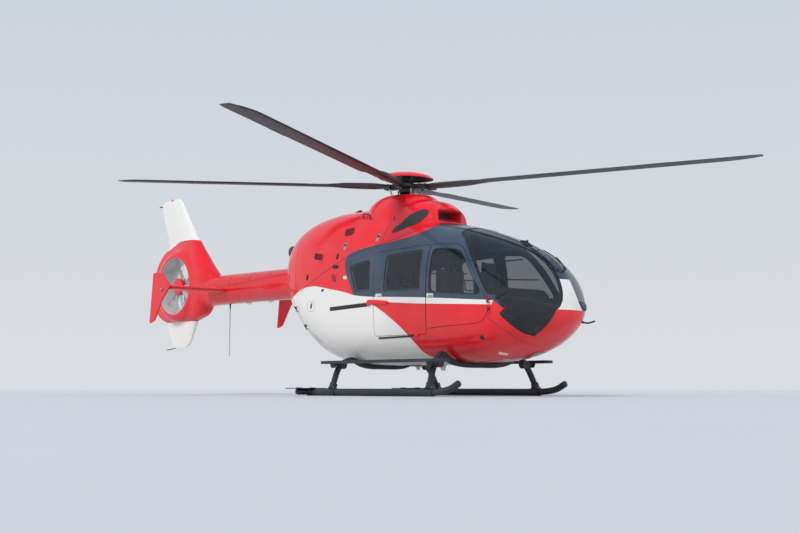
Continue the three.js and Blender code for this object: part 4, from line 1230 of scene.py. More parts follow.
for i in range(4):
    hub += [(rotor_place(form, turn(ROTOR_AZIMUTH + 90 * i, "Z")), look) for form, look in arm]
part("rotor_hub_detail", "main_rotor", hub, ("rotor_hub",), bevel=2.5, segments=2)
cap_screw = cylinder(7, (345, 0, 164), (347, 0, 172), 12)
part("hub_cap_detail", "main_rotor", [
    (rotor_place(turned(CAP_PROFILE, 96)), RED_PAINT),
    (rotor_place(turned([(0, 60), (60, 60), (60, 205), (0, 212)])), DARK_METAL),
    (rotor_place(turned(CAP_LINING_PROFILE, 96)), DARK_TRIM),
    *[(rotor_place(cap_screw, turn(i * 30, "Z")), STEEL) for i in range(12)]], ("hub_cap",))


# Engines, gearbox and exhausts under the cowls

GEARBOX_TOP = 2470
GEARBOX_X = -120
ENGINE_BACK, ENGINE_FRONT = (-1250, -330, 2190), (-330, -330, 2240)
PIPE_WALL = 10
BORE_START_X = -1900
# Profiles: radius, distance from the engine's rear end.
ENGINE_PROFILE = [
    (0, 0), (118, 0), (118, 60), (132, 76), (132, 150), (158, 156), (158, 172), (141, 180), (141, 330),
    (158, 338), (158, 352), (150, 362), (150, 520), (158, 528), (158, 544), (128, 560), (112, 640),
    (112, 765), (146, 775), (146, 792), (120, 806), (120, 925), (0, 925),
]
SCREEN_PROFILE = [(0, 642), (121, 642), (121, 762), (0, 762)]
# Lines on the starboard engine: points, radius, look
ENGINE_LINES = [
    ([(-1090, -250, 2300), (-1000, -232, 2352), (-780, -262, 2384), (-640, -300, 2400)], 9, STEEL),
    ([(-1080, -420, 2300), (-920, -446, 2330), (-720, -430, 2370), (-640, -390, 2396)], 7, STEEL),
    ([(-470, -400, 2400), (-400, -420, 2340), (-370, -400, 2260), (-330, -370, 2220)], 11, RUBBER),
]
DRAINS = [
    [(-1075, -400, 2090), (-1060, -440, 1960), (-1050, -450, 1850)],
    [(-1075, -260, 2090), (-1060, -220, 1960), (-1050, -210, 1850)],
]
# The gearbox's top. Columns: z, half length, half width, corner radius.
UPPER_CASE = [(2300, 258, 378, 110), (2380, 236, 330, 110), (2440, 190, 235, 90), (GEARBOX_TOP, 170, 190, 80)]
COLLAR_PROFILE = [
    (0, MAST_FOOT - 200), (150, MAST_FOOT - 200), (150, MAST_FOOT - 40), (118, MAST_FOOT - 24),
    (110, MAST_FOOT - 10), (110, MAST_FOOT), (0, MAST_FOOT),
]
SHAFT_START, SHAFT_END = (-380, 0, 2190), (-2300, 0, 1968)


def on_engine(profile):
    """A profile turned about the starboard engine's axis, from its rear end forwards."""
    ahead = Vector((0, 0, 1)).rotation_difference(Vector(ENGINE_FRONT) - Vector(ENGINE_BACK))
    return shaped(turned(profile, 56), ahead.to_matrix().to_4x4(), shift(*ENGINE_BACK))


def on_pipe(x):
    share = (x - PIPE_START[0]) / (PIPE_END[0] - PIPE_START[0])
    return tuple(start + share * (end - start) for start, end in zip(PIPE_START, PIPE_END))


def case_outline(half_x, half_y, radius):
    return rounded([(GEARBOX_X + x, y) for x, y in oblong(-half_x, half_x, -half_y, half_y)], radius)


def engines_and_gearbox():
    bore = cylinder(PIPE_RADIUS - PIPE_WALL, on_pipe(BORE_START_X), on_pipe(PIPE_END[0] - 20), 56)
    engine = [
        (on_engine(ENGINE_PROFILE), CASING), (on_engine(SCREEN_PROFILE), INTAKE),
        (csg(cylinder(PIPE_RADIUS, PIPE_START, PIPE_END, 56), ("-", bore)), EXHAUST),
        (cylinder(PIPE_RADIUS + 9, on_pipe(-1262), on_pipe(-1290), 56), STEEL),
        (box(-660, -450, -425, -235, 2368, 2440), CASTING),
        (cylinder(52, (-640, -285, 2460), (-440, -285, 2470), 32), CASTING),
        (cylinder(34, (-900, -205, 2330), (-760, -205, 2336), 28), DARK_METAL),
        *[(tube(points, radius, 30, 12), look) for points, radius, look in ENGINE_LINES],
        *[(tube(points, 10, 14, 12, ends=False), DARK_METAL) for points in DRAINS],
    ]
    bay = csg(pod_form(COWL_SKIN + 20), ("&", over_deck(TOUCH)))
    block = prism(case_outline(260, 380, 110), 1950, 2300, "z")
    upper = loft([[(x, y, z) for x, y in case_outline(*sizes)] for z, *sizes in UPPER_CASE])
    flange = prism(case_outline(272, 392, 112), 2288, 2308, "z")
    ribs = [prism([(GEARBOX_X + foot, 2310), (GEARBOX_X + end, 2310), (GEARBOX_X + top, 2440)], y - 7, y + 7)
            for y in (-250, -125, 0, 125, 250) for foot, end, top in ((0, 272, 150), (-272, 0, -150))]
    bolts = [cylinder(8, (x, y, 2306), (x, y, 2320), 6) for x in (-378, 138) for y in range(-300, 301, 100)]
    shaft = [(cylinder(24, SHAFT_START, SHAFT_END, 32), STEEL)]
    for share in (0.02, 0.34, 0.66, 0.97):
        x, _, z = (start + (end - start) * share for start, end in zip(SHAFT_START, SHAFT_END))
        shaft.append((cylinder(46, (x, 0, z), (x - 34, 0, z - 4), 32), DARK_METAL))
    members = [*engine, *[(mirrored(form), look) for form, look in engine],
               *[(form, CASTING) for form in (csg(block, ("&", bay)), upper, flange, *ribs)],
               *[(bolt, STEEL) for bolt in bolts], (rotor_place(turned(COLLAR_PROFILE, 56)), CASTING), *shaft]
    part("engines_and_gearbox_detail", "airframe", members, ("engines_and_gearbox",), bevel=2.5, segments=2)


engines_and_gearbox()


# Landing gear

SKID_Z = 57
# Half of each cross tube, from the middle out to the starboard skid.
CROSS_TUBES = {
    "front": [(1450, 0, 425), (1450, -330, 430), (1450, -560, 470), (1450, -744, 560), (1480, -900, 400),
              (1530, -TRACK_HALF, 120)],
    "rear": [(-540, 0, 425), (-540, -300, 430), (-545, -450, 455), (-555, -620, 515), (-530, -860, 420),
             (-490, -TRACK_HALF, 120)],
}
# The skid's runs: x and its rise over the middle of the tube.
SKID_LINE = [(-1300, 0), (-600, 0), (600, 0), (1500, 0), (1720, 6), (1920, 40), (2070, 110)]
GROUND_PLATE = [
    (-870, 90), (-990, 300), (-1210, 300), (-1340, 90), (-1340, -90), (-1210, -300), (-990, -300),
    (-870, -90),
]
WEAR_STRIPS = [(-1050, -300), (-250, 600), (650, 1500)]
STEP_FRONT, STEP_BACK, STEP_Y = 1850, -717, 995
STEP_Z, STEP_HALF, STEP_THICK = 474, 75, 40
STEP_OUTLINE = [
    (STEP_BACK, STEP_HALF), (STEP_FRONT - 60, STEP_HALF), (STEP_FRONT, STEP_HALF - 40),
    (STEP_FRONT, 40 - STEP_HALF), (STEP_FRONT - 60, -STEP_HALF), (STEP_BACK, -STEP_HALF),
]
GRIPS = [(-640, 150), (230, 1000), (1080, 1770)]

for name, points in CROSS_TUBES.items():
    whole = [(x, -y, z) for x, y, z in points[:0:-1]] + points
    part(f"cross_tube_{name}_detail", "airframe", [(tube(whole, 42, 90, 28, ends=False), GEAR)],
         (f"cross_tube_{name}",))


def skid():
    """The starboard skid with its ground plate, and the saddles that hold the cross tubes."""
    yield tube([(x, -TRACK_HALF, SKID_Z + rise) for x, rise in SKID_LINE], 45, 70, 28), GEAR
    yield prism(rounded([(x, y - TRACK_HALF) for x, y in GROUND_PLATE], 25), 100, 112, "z"), GEAR
    for x in (-950, -1270):
        yield prism(oblong(x - 12, x + 12, 60, 118), -TRACK_HALF - 52, -TRACK_HALF + 52), GEAR
    for x, lean in ((1530, 6), (-490, -6)):
        yield cylinder(SKID_Z, (x - 80, -TRACK_HALF, SKID_Z), (x + 80, -TRACK_HALF, SKID_Z), 32), GEAR
        yield cylinder(55, (x - lean, -TRACK_HALF + 25, 175), (x, -TRACK_HALF - 3, 95), 32), GEAR
        for dx in (-62, 62):
            for dy in (-22, 22):
                foot = (x + dx, -TRACK_HALF + dy)
                yield cylinder(9, (*foot, 112), (*foot, 124), 6), STEEL
    for back, front in WEAR_STRIPS:
        yield box(back, front, -TRACK_HALF - 24, -TRACK_HALF + 24, 0, 18), DARK_METAL


def step():
    """The starboard step with its grip strips, and the clamps that hold it to the cross tubes."""
    deck = rounded([(x, y - STEP_Y) for x, y in STEP_OUTLINE], 18)
    low, top = STEP_Z - STEP_THICK / 2, STEP_Z + STEP_THICK / 2
    yield prism(deck, low, top, "z"), GEAR
    for back, front in GRIPS:
        yield box(back, front, -STEP_Y - STEP_HALF + 14, -STEP_Y + STEP_HALF - 14, top - 1, top + 2), GRIP
    for x in (1490, -520):
        yield cylinder(58, (x - 42, -822, 440), (x + 42, -822, 440), 32), GEAR
        clamp = rounded([(x - 45, 480), (x + 45, 480), (x + 30, 420), (x - 30, 420)], 12)
        yield prism(clamp, -960, -835), GEAR
        foot = rounded([(x - 70, 456), (x + 70, 456), (x + 40, 395), (x - 40, 395)], 15)
        yield prism(foot, -1000, -980), GEAR
        for dx in (-34, 34):
            yield cylinder(8, (x + dx, -1004, 440), (x + dx, -976, 440), 6), STEEL


part_pair("skid", STILL, list(skid()), nodes=True, bevel=3, segments=2)
part_pair("step", STILL, list(step()), nodes=True, bevel=4, segments=2)


# Interior

# How a pad is puffed up: voxel size and furthest move in metres, pressure, frames, share of faces kept,
# and how much of its thickness the crown of its faces takes.
VOXEL = 0.006
PRESSURE = 4.0
CLOTH_FRAMES = 20
PUFF_LIMIT = 0.014
KEPT_FACES = 0.35
CROWN = 0.28
SEAT_TOP = 1005
# Pads of one seat, as (middle, size) for a seat on the centre line
COCKPIT_PADS = [
    ((1480, 1060), (470, 470, 110)), ((1264, 1400), (104, 460, 640)), ((1262, 1790), (86, 260, 160)),
]
CABIN_PADS = [((-20, 1060), (440, 440, 100)), ((-246, 1390), (94, 440, 620))]
SEAT_Y = 360
BELT_WIDTH, BELT_THICK = 45, 2.5


def puff(obj, size):
    """Leaves a pad as cloth under pressure shapes it, with no point moved beyond PUFF_LIMIT."""
    scene = bpy.context.scene
    remesh = obj.modifiers.new("remesh", "REMESH")
    remesh.mode = "VOXEL"
    remesh.voxel_size = VOXEL
    fine = evaluated(obj)
    obj.modifiers.clear()
    obj.data = fine
    start = np.array([v.co[:] for v in fine.vertices])
    cloth = obj.modifiers.new("cloth", "CLOTH")
    cloth.settings.use_pressure = True
    cloth.settings.uniform_pressure_force = PRESSURE
    cloth.settings.effector_weights.gravity = 0.0
    cloth.settings.quality = 4
    cloth.collision_settings.use_collision = False
    for moment in range(1, CLOTH_FRAMES + 1):
        scene.frame_set(moment)
    pressed = obj.evaluated_get(bpy.context.evaluated_depsgraph_get()).to_mesh()
    step = np.array([v.co[:] for v in pressed.vertices]) - start
    length = np.linalg.norm(step, axis=1)[:, None]
    step *= np.minimum(1, PUFF_LIMIT / np.maximum(length, 1e-9))
    limit = np.array(size) / 2000
    obj.modifiers.clear()
    for vertex, place in zip(fine.vertices, np.clip(start + step, -limit, limit)):
        vertex.co = place
    scene.frame_set(1)
    obj.modifiers.new("fewer", "DECIMATE").ratio = KEPT_FACES


@functools.lru_cache(maxsize=None)
def cushion_mesh(size):
    """A stuffed pad of the given size in mm, its middle on the origin."""
    bm = bmesh.new()
    bmesh.ops.create_cube(bm, size=1.0)
    bmesh.ops.bevel(bm, geom=bm.edges[:], offset=0.06, segments=2, profile=0.6, affect="EDGES")
    bmesh.ops.subdivide_edges(bm, edges=bm.edges[:], cuts=5, use_grid_fill=True)
    half = [v / 2000 - 0.006 for v in size]
    thin = half.index(min(half))
    for vertex in bm.verts:
        share = [2 * vertex.co[k] for k in range(3)]
        others = [share[k] for k in range(3) if k != thin]
        # Sides pull in between the corners, and the faces stand highest in the middle.
        waist = 1 - 0.035 * (1 - min(abs(v) for v in others) ** 2)
        lift = 0.72 + CROWN * (1 - others[0] ** 4) * (1 - others[1] ** 4)
        for k in range(3):
            vertex.co[k] = share[k] * half[k] * (lift if k == thin else waist)
    mesh = bpy.data.meshes.new("cushion")
    bm.to_mesh(mesh)
    bm.free()
    obj = link(bpy.data.objects.new("cushion", mesh))
    puff(obj, size)
    mesh = evaluated(obj)
    bpy.data.objects.remove(obj)
    return mesh


def pad(name, middle, size):
    mesh = cushion_mesh(size).copy()
    mesh.transform(Matrix.Translation(at(*middle)))
    mesh.materials.clear()
    mesh.materials.append(FABRIC)
    for polygon in mesh.polygons:
        polygon.use_smooth = True
    obj = link(bpy.data.objects.new(name, mesh))
    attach(obj, "airframe")


def seam_ring(middle, size, axis, radius=4, sides=8):
    """The piping round a pad, between its faces, which lie across the axis."""
    a, b = [k for k in range(3) if k != axis]
    half_a, half_b = size[a] / 2 - 3, size[b] / 2 - 3
    outline = rounded(oblong(-half_a, half_a, -half_b, half_b), 0.22 * min(size[a], size[b]), 5)
    path = np.array([middle] * len(outline), float)
    path[:, [a, b]] += outline
    flat = np.eye(3)[axis]
    across = np.cross(unit_rows(np.roll(path, -1, axis=0) - np.roll(path, 1, axis=0)), flat)
    cosine, sine = np.cos(around(sides))[:, None], np.sin(around(sides))[:, None]
    points = np.concatenate([spot + radius * (cosine * side + sine * flat)
                             for spot, side in zip(path, across)])
    faces = ring_faces(len(path) + 1, sides)
    return solid(points, [tuple(k % len(points) for k in face) for face in faces])


def belt(points, across):
    """A flat strap along a curve. Across is the direction of its width."""
    path = curve_points(points, 28)
    across = np.asarray(across, float)
    section = oblong(-BELT_WIDTH / 2, BELT_WIDTH / 2, -BELT_THICK / 2, BELT_THICK / 2)
    rings = []
    for spot, ahead in zip(path, unit_rows(np.gradient(path, axis=0))):
        wide = across - ahead * (across @ ahead)
        wide /= np.linalg.norm(wide)
        lift = np.cross(wide, ahead)
        rings.append([spot + u * wide + v * lift for u, v in section])
    return loft(rings)


def seat(prefix, y, pads):
    """Puts a seat's pads in place, and gives its shell, piping and belts."""
    placed = [((x, y, z), size) for (x, z), size in pads]
    for name, (middle, size) in zip(("cushion", "back_pad", "headrest"), placed):
        pad(f"{prefix}_{name}", middle, size)
    (seat_x, seat_z), (_, _, seat_thick) = pads[0]
    (back_x, back_z), (back_thick, back_width, back_height) = pads[1]
    shell_back, front = back_x - back_thick / 2, back_x + back_thick / 2 + 6
    width = back_width / 2 + 6
    top, foot = back_z + back_height / 2 + 4, seat_z - seat_thick / 2 - 4
    lap = seat_z + seat_thick / 2 + 8
    shell_line = [
        (shell_back - 14, foot + 40), (shell_back + 20, foot - 10), (seat_x + 190, foot - 14),
        (seat_x + 190, foot + 1), (shell_back + 26, foot + 4), (shell_back + 1, foot + 50),
        (shell_back + 1, top), (shell_back - 14, top),
    ]
    members = [(prism(shell_line, y - width, y + width), DARK_TRIM),
               (seam_ring(*placed[0], axis=2), WEBBING), (seam_ring(*placed[1], axis=0), WEBBING)]
    for (head_x, head_z), _ in pads[2:]:
        members += [(cylinder(9, (head_x, y + d, top - 40), (head_x, y + d, head_z), 16), STEEL)
                    for d in (-55, 55)]
    for d in (-1, 1):
        shoulder = [(shell_back - 4, y + d * 70, top + 2), (front, y + d * 80, top - 40),
                    (front + 4, y + d * 85, top - 260), (front + 14, y + d * 60, lap + 190),
                    (front + 90, y + d * 25, lap + 30)]
        hip = [(front + 20, y + d * (width + 1), foot + 30), (front + 40, y + d * (width - 20), lap + 4),
               (front + 90, y + d * 30, lap + 22)]
        members += [(belt(shoulder, (0, 1, 0)), WEBBING), (belt(hip, (1, 0, 0.4)), WEBBING)]
    members.append((cylinder(30, (front + 90, y, lap + 18), (front + 108, y, lap + 32), 24), STEEL))
    return members


seat_base = box(1290, 1670, -540, -180, FLOOR_Z + 1, SEAT_TOP)
for side, y, base in (("right", -SEAT_Y, seat_base), ("left", SEAT_Y, mirrored(seat_base))):
    members = [*seat(f"cockpit_seat_{side}", y, COCKPIT_PADS), (base, DARK_TRIM)]
    part(f"cockpit_seat_{side}_shell", "airframe", members, (f"cockpit_seat_{side}",), bevel=4, segments=2)

bench = []
for side, y in (("right", -SEAT_Y), ("left", SEAT_Y)):
    bench += seat(f"cabin_seat_{side}", y, CABIN_PADS)
    bench.append((box(-190, 150, y - 170, y + 170, FLOOR_Z + 1, SEAT_TOP), DARK_TRIM))
bench.append((box(-210, 90, -450, 450, FLOOR_Z + 1, FLOOR_Z + 30), DARK_TRIM))
part("cabin_seats_frame", "airframe", bench, ("cabin_seats",), bevel=4, segments=2)

# Instrument panel, seen from its back through the windscreens and from its face through the doors
HOOD = [
    (2120, 1375), (2175, 1418), (2330, 1412), (2420, 1330), (2432, 1200), (2395, 1085), (2300, 1075),
    (2250, 1300), (2150, 1352),
]
FACE = [(2196, 1085), (2252, 1088), (2262, 1372), (2176, 1372)]
# Columns: y and z of the middle on the panel's face, width, height.
DISPLAYS = [(-205, 20, 150, 190), (-40, 20, 150, 190), (125, 55, 130, 120), (238, 20, 76, 190)]


def on_face(form):
    """From a panel lying on the ground, its middle on the origin, to the instrument panel's face."""
    return shaped(form, turn(-90, "Y"), turn(-4, "Y"), shift(2183, 0, 1230))


def display_plate(y, z, width, height, rim=0):
    return oblong(z - height / 2 - rim, z + height / 2 + rim, y - width / 2 - rim, y + width / 2 + rim)


def instruments():
    hood_line = rounded(HOOD, 22, 4)
    yield loft([[(x, y, z) for x, z in hood_line] for y in (-318, -300, 0, 300, 318)]), DARK_TRIM
    yield prism(FACE, -300, 300), DARK_TRIM
    yield box(2196, 2338, -128, 128, 612, 1110), DARK_TRIM
    yield box(1692, 2228, -98, 98, FLOOR_Z + 1, SEAT_TOP), DARK_TRIM
    for place in DISPLAYS:
        yield on_face(prism(rounded(display_plate(*place, rim=9), 10), -12, 4, "z")), DARK_METAL
        yield on_face(prism(display_plate(*place), 0, 6, "z")), DISPLAY
    for k in range(5):
        yield on_face(cylinder(11, (-62, 78 + 24 * k, -2), (-62, 78 + 24 * k, 16), 20)), DARK_METAL


def console_controls():
    for k in range(3):
        x = 120 * k
        for j in range(4):
            yield box(1760 + x, 1850 + x, -86 + 44 * j, -50 + 44 * j, 1003, 1012), DARK_METAL
        for y in (-60, 60):
            yield cylinder(9, (1740 + x, y, 1003), (1740 + x, y, 1024), 16), STEEL


def flight_controls(side):
    """Stick, lever beside the seat and pedals of one pilot. Side is -1 to starboard, 1 to port."""
    y = SEAT_Y * side
    lever_y = y - 270 * side
    stick = [(1900, y, FLOOR_Z + 2), (1890, y, 900), (1850, y, 1060), (1800, y, 1170), (1812, y, 1255)]
    yield tube(stick, 13, 30, 14), DARK_METAL
    yield tube([(1808, y, 1215), (1818, y, 1270), (1822, y, 1330)], 20, 14, 16), RUBBER
    yield cylinder(45, (1900, y, FLOOR_Z), (1896, y, FLOOR_Z + 70), 24, 18), RUBBER
    yield tube([(1380, lever_y, 900), (1500, lever_y, 960), (1680, lever_y, 1075)], 13, 24, 14), DARK_METAL
    yield tube([(1640, lever_y, 1050), (1740, lever_y, 1115)], 20, 10, 16), RUBBER
    for pedal in (y - 95, y + 95):
        plate_line = rounded([(2284, 840), (2300, 846), (2268, 950), (2252, 944)], 4)
        yield tube([(2330, pedal, 700), (2290, pedal, 860)], 9, 10, 12), STEEL
        yield prism(plate_line, pedal - 40, pedal + 40), DARK_METAL


controls = [*instruments(), *console_controls(), *flight_controls(-1), *flight_controls(1)]
part("instrument_panel_detail", "airframe", controls, ("instrument_panel",), bevel=3, segments=2)


# Trim. Outlines on the pod's side are [x, z] in mm. The port side mirrors the starboard one.

@functools.lru_cache(maxsize=None)
def pod_layer(lift, sink, whole=False):
    """What lies between two offsets of the pod: its starboard half, or all of it."""
    layer = csg(pod_form(-lift), ("-", pod_form(sink)))
    return layer if whole else csg(layer, ("&", box(-FAR, FAR, -WIDE, -20, 0, FAR)))


def plate(x, z, width, height, tilt=0.0, radius=10):
    """A rounded rectangle as an outline, its middle at x, z."""
    c, s = math.cos(math.radians(tilt)), math.sin(math.radians(tilt))
    flat = rounded(oblong(-width / 2, width / 2, -height / 2, height / 2),
                   min(radius, width / 2.05, height / 2.05), 5)
    return [(x + p * c - q * s, z + p * s + q * c) for p, q in flat]


def line(points, width):
    """The outline of a line of even width."""
    p = np.array(points, float)
    way = unit_rows(np.gradient(p, axis=0))
    across = np.stack([-way[:, 1], way[:, 0]], axis=1) * width / 2
    return [tuple(v) for v in np.vstack([p + across, (p - across)[::-1]])]


def on_side(outlines, lift, sink=1.5, holes=()):
    """Plates that follow the pod's starboard side. Their outlines don't overlap."""
    form = csg(pod_layer(lift, sink), ("&", join(*[right_side(outline) for outline in outlines])))
    return csg(form, ("-", join(*[right_side(hole) for hole in holes]))) if holes else form


def plates(rows):
    """Rows: x, z, width, height, tilt, corner radius, lift, look."""
    return [(on_side([plate(*shape)], lift), look) for *shape, lift, look in rows]


def lines(rows):
    """Rows: points, width, lift, look."""
    return [(on_side([line(points, width)], lift), look) for points, width, lift, look in rows]


def rim(shape, hole, lift, look):
    return on_side([plate(*shape)], lift, holes=[plate(*hole)]), look


def side_point(x, z):
    """Where the pod's starboard skin is, and its normal there."""
    return POD_REFERENCE.tree.ray_cast(at(x, -2000, z), Vector((0, 1, 0)))[:2]


def local(spot):
    """A point of the shared frame in station millimetres."""
    return ((spot.x - SHIFT) * 1000, spot.y * 1000, spot.z * 1000)


def on_top(x, y, lift):
    """The highest outer surface of pod, hump and scoop over a place in plan, with a lift in mm."""
    hits = [reference.tree.ray_cast(at(x, y, FAR), Vector((0, 0, -1)))[:2] for reference in COWL_REFERENCES]
    spot, normal = max((hit for hit in hits if hit[0] is not None), key=lambda hit: hit[0].z)
    return local(spot + normal * (lift / 1000))


def along_top(points, lift):
    return [on_top(x, y, lift) for x, y in points]


def studs(places, radius, height, sides=10):
    """Round heads on the starboard side, at [x, z] places."""
    forms = []
    for x, z in places:
        spot, normal = side_point(x, z)
        base, head = local(spot - normal * 0.002), local(spot + normal * (height / 1000))
        forms.append(cylinder(radius, base, head, sides, radius * 0.7))
    return join(*forms)


def spaced(points, gap):
    """Places along a line, a gap in mm apart."""
    p = np.array(points, float)
    along = np.concatenate([[0], np.cumsum(np.linalg.norm(np.diff(p, axis=0), axis=1))])
    marks = np.arange(gap / 2, along[-1], gap)
    return list(zip(np.interp(marks, along, p[:, 0]), np.interp(marks, along, p[:, 1])))


# Rails of the sliding door, its handle fairing, and the door handles
FAIRING = [(-25, 1290), (10, 1348), (60, 1352), (395, 1322), (430, 1302), (415, 1278), (60, 1290), (20, 1268)]
part_pair("door_rails", STILL, [
    *lines([
        ([(-895, 1262), (-20, 1287)], 58, 3, DARK_TRIM),
        ([(-880, 1263), (-30, 1287)], 34, 11, DARK_METAL),
        ([(190, 804), (965, 816)], 24, 7, DARK_METAL)]),
    (on_side([FAIRING], 26), RED_PAINT),
    *plates([(985, 817, 70, 34, 2, 12, 20, RED_PAINT)]),
], bevel=3, segments=2)
for name, bodies, x, z in (("sliding_door_handle", STILL, 225, 1404),
                           ("cockpit_door_handle", on_doors("cockpit_door"), 1275, 1352)):
    part_pair(name, bodies, plates([
        (x, z, 128, 46, -2, 16, 5, WHITE_PAINT), (x + 8, z, 92, 30, -2, 10, 7, DARK_TRIM),
        (x + 4, z + 2, 100, 17, -2, 7, 19, WHITE_PAINT)]), bevel=2.5, segments=2)

# Vents, latches and screws on the side cowls. Columns of a vent: x, z, width, height and tilt, then the
# corner radius of its screen and of its frame.
VENTS = [(-570, 2385, 205, 118, 4, 58, 66), (-1230, 2065, 235, 98, -10, 32, 38)]
DECK_SCREWS = [(190, 2152), (-91, 2099), (-610, 1985), (-1300, 1740), (-1700, 1590), (-1880, 1584)]


def cowl_trim():
    yield on_side([plate(*vent[:6]) for vent in VENTS], 2.2), GRILLE
    for x, z, width, height, tilt, _, corner in VENTS:
        hole = (x, z, width - 2, height - 2, tilt, corner - 8)
        yield rim((x, z, width + 16, height + 16, tilt, corner), hole, 3.5, RED_PAINT)
    for x, z in ((-589, 2164), (95, 2238)):
        yield from plates([
            (x, z, 56, 112, -6, 10, 5, STEEL), (x, z + 22, 34, 34, -6, 6, 10, DARK_METAL),
            (x, z - 28, 30, 26, -6, 6, 9, STEEL)])
    for x, z in ((-747, 2030), (-1523, 1775)):
        yield from plates([(x, z, 44, 88, -12, 8, 5, DARK_TRIM), (x, z - 6, 24, 54, -12, 6, 12, DARK_METAL)])
    yield studs(spaced([(x, z + 28) for x, z in DECK_SCREWS], 118), 6.5, 2.0), STEEL
    yield studs(spaced([(180, 2240), (176, 2330), (165, 2420)], 60), 6.5, 2.0), STEEL


part_pair("engine_cowl_trim", on_doors("cowl"), list(cowl_trim()), bevel=1.5, segments=1)

# Access covers, handle cup, louvre and small fittings behind the cabin
LOUVRE = [plate(-804 + 19 * (k - 2), 1716 - 19 * (k - 2), 96 - 18 * abs(k - 2), 13, 38, 6) for k in range(5)]
COWL_FOOT = [(x, z - 5) for x, z in (*DECK[:-1], (-1900, 1583))]
CHIN_SEAM = [(2250, 1060), (2300, 1010), (2370, 944), (2439, 884), (2521, 814), (2640, 640)]
part_pair("side_fittings", STILL, [
    rim((-779, 1880, 150, 58, -6, 29), (-779, 1880, 118, 30, -6, 15), 4, DARK_TRIM),
    *plates([
        (-779, 1880, 116, 28, -6, 14, 1.2, DARK_METAL), (-537, 1705, 74, 46, -4, 8, 2.2, WHITE_PAINT),
        (-1087, 1552, 58, 30, 20, 8, 6, DARK_TRIM), (-1398, 1335, 34, 74, -14, 8, 6, DARK_TRIM)]),
    rim((-1410, 1330, 216, 150, -8, 66), (-1410, 1330, 210, 144, -8, 63), 1.0, DARK_METAL),
    (on_side([[(2078, 748), (2163, 728), (2150, 806)]], 1.5), DARK_TRIM),
    *lines([
        ([(-1497, 924), (-1390, 846), (-1283, 770)], 5, 1.0, DARK_METAL),
        ([(-1480, 948), (-1372, 868), (-1264, 792)], 5, 1.0, DARK_METAL)]),
    (on_side(LOUVRE, 2.5), DARK_TRIM),
    *lines([(COWL_FOOT, 7, 0.9, DARK_TRIM)]),
    (studs(spaced([(x, z - 30) for x, z in COWL_FOOT[3:]], 130), 6, 1.8), RED_PAINT),
    *lines([(CHIN_SEAM, 5, 0.8, DARK_METAL)]),
], bevel=1.2, segments=1)

# Rubber between the windscreen and the chin window, and screws round the panes
RUBBER_BAND = [
    (2430, 1293), (2529, 1269), (2811, 1226), (3010, 1161), (3062, 1126), (3052, 1096), (3000, 1114),
    (2621, 1184), (2540, 1120), (2500, 1150), (2470, 1220),
]
SCREEN_EDGE = [
    (1590, 2164), (1700, 2094), (1800, 1990), (1868, 1912), (2031, 1706), (2247, 1366), (2296, 1300),
]
SCREEN_SCREWS = [(1560, 2200), (1640, 2130), (1760, 2020), (1850, 1920), (2010, 1710), (2230, 1368)]
band = csg(pod_layer(2.6, 1.5, True), ("&", right_side(RUBBER_BAND)), ("-", post(2)))
part_pair("glazing_trim", STILL, [(band, RUBBER), *lines([(SCREEN_EDGE, 7, 1.2, RUBBER)])])
part_pair("windscreen_screws", STILL, [(studs(spaced(SCREEN_SCREWS, 92), 5, 1.6, 8), DARK_METAL)])


# Frames inside the side windows, the vent pane in the sliding door, and rods behind the cockpit door's pane

def inner_frame(pane, width, inset=4):
    outline = GLASS_LINES[pane]
    return csg(pod_layer(-11, 30, True), ("&", right_side(offset(outline, -inset))),
               ("-", right_side(offset(outline, -inset - width))))


def rod(points):
    return csg(pod_layer(-24, 38, True), ("&", right_side(line(points, 15)))), DARK_TRIM


part_pair("cabin_window_frames", STILL, [
    (inner_frame("sliding_door", 17), FRAME_GREY), (inner_frame("rear_side", 15), FRAME_GREY)])
part_pair("cockpit_window_frame", on_doors("cockpit_door"), [
    (inner_frame("cockpit_door", 13), DARK_TRIM),
    rod([(1240, 1905), (1660, 1898)]), rod([(1240, 1648), (1900, 1600)])])
vent = rounded([(385, 1535), (935, 1500), (935, 1668), (375, 1700)], 18, 5)
vent_frame = csg(pod_layer(-1, 15), ("&", right_side(vent)), ("-", right_side(offset(vent, -14))))
slider = csg(pod_layer(0, 12), ("&", right_side(line([(655, 1518), (655, 1684)], 13))))
part_pair("vent_window_frame", STILL, [(vent_frame, DARK_TRIM), (slider, DARK_TRIM)])

# Hinges, with their knuckles where the doors turn
HINGE_DEPTH = 42
HINGE_PLAY = 0.4
CABIN_MIDDLE = Vector((-200, 0, 1350))
# Start and end of the axis, way to the leaf, places along the axis, look, then knuckle radius, length of
# the leaf's knuckle and of the frame's, and how far the plates reach from the axis.
HINGES = {
    "cockpit_door": (
        (2318, -744, 1000), (2318, -744, 1300), (-1, 0, 0), (112, 232), RED_PAINT, (9, 40, 17, 24)),
    "clamshell": (
        (-1578, -622, 950), (-1931, -650, 1400), (-1, 0, 0), (110, 470), WHITE_PAINT, (12, 54, 25, 32)),
    "cowl": (
        (-850, -153, 2784), (-1750, -153, 2687), (0, -1, 0), (120, 820), RED_PAINT, (14, 60, 28, 36)),
}


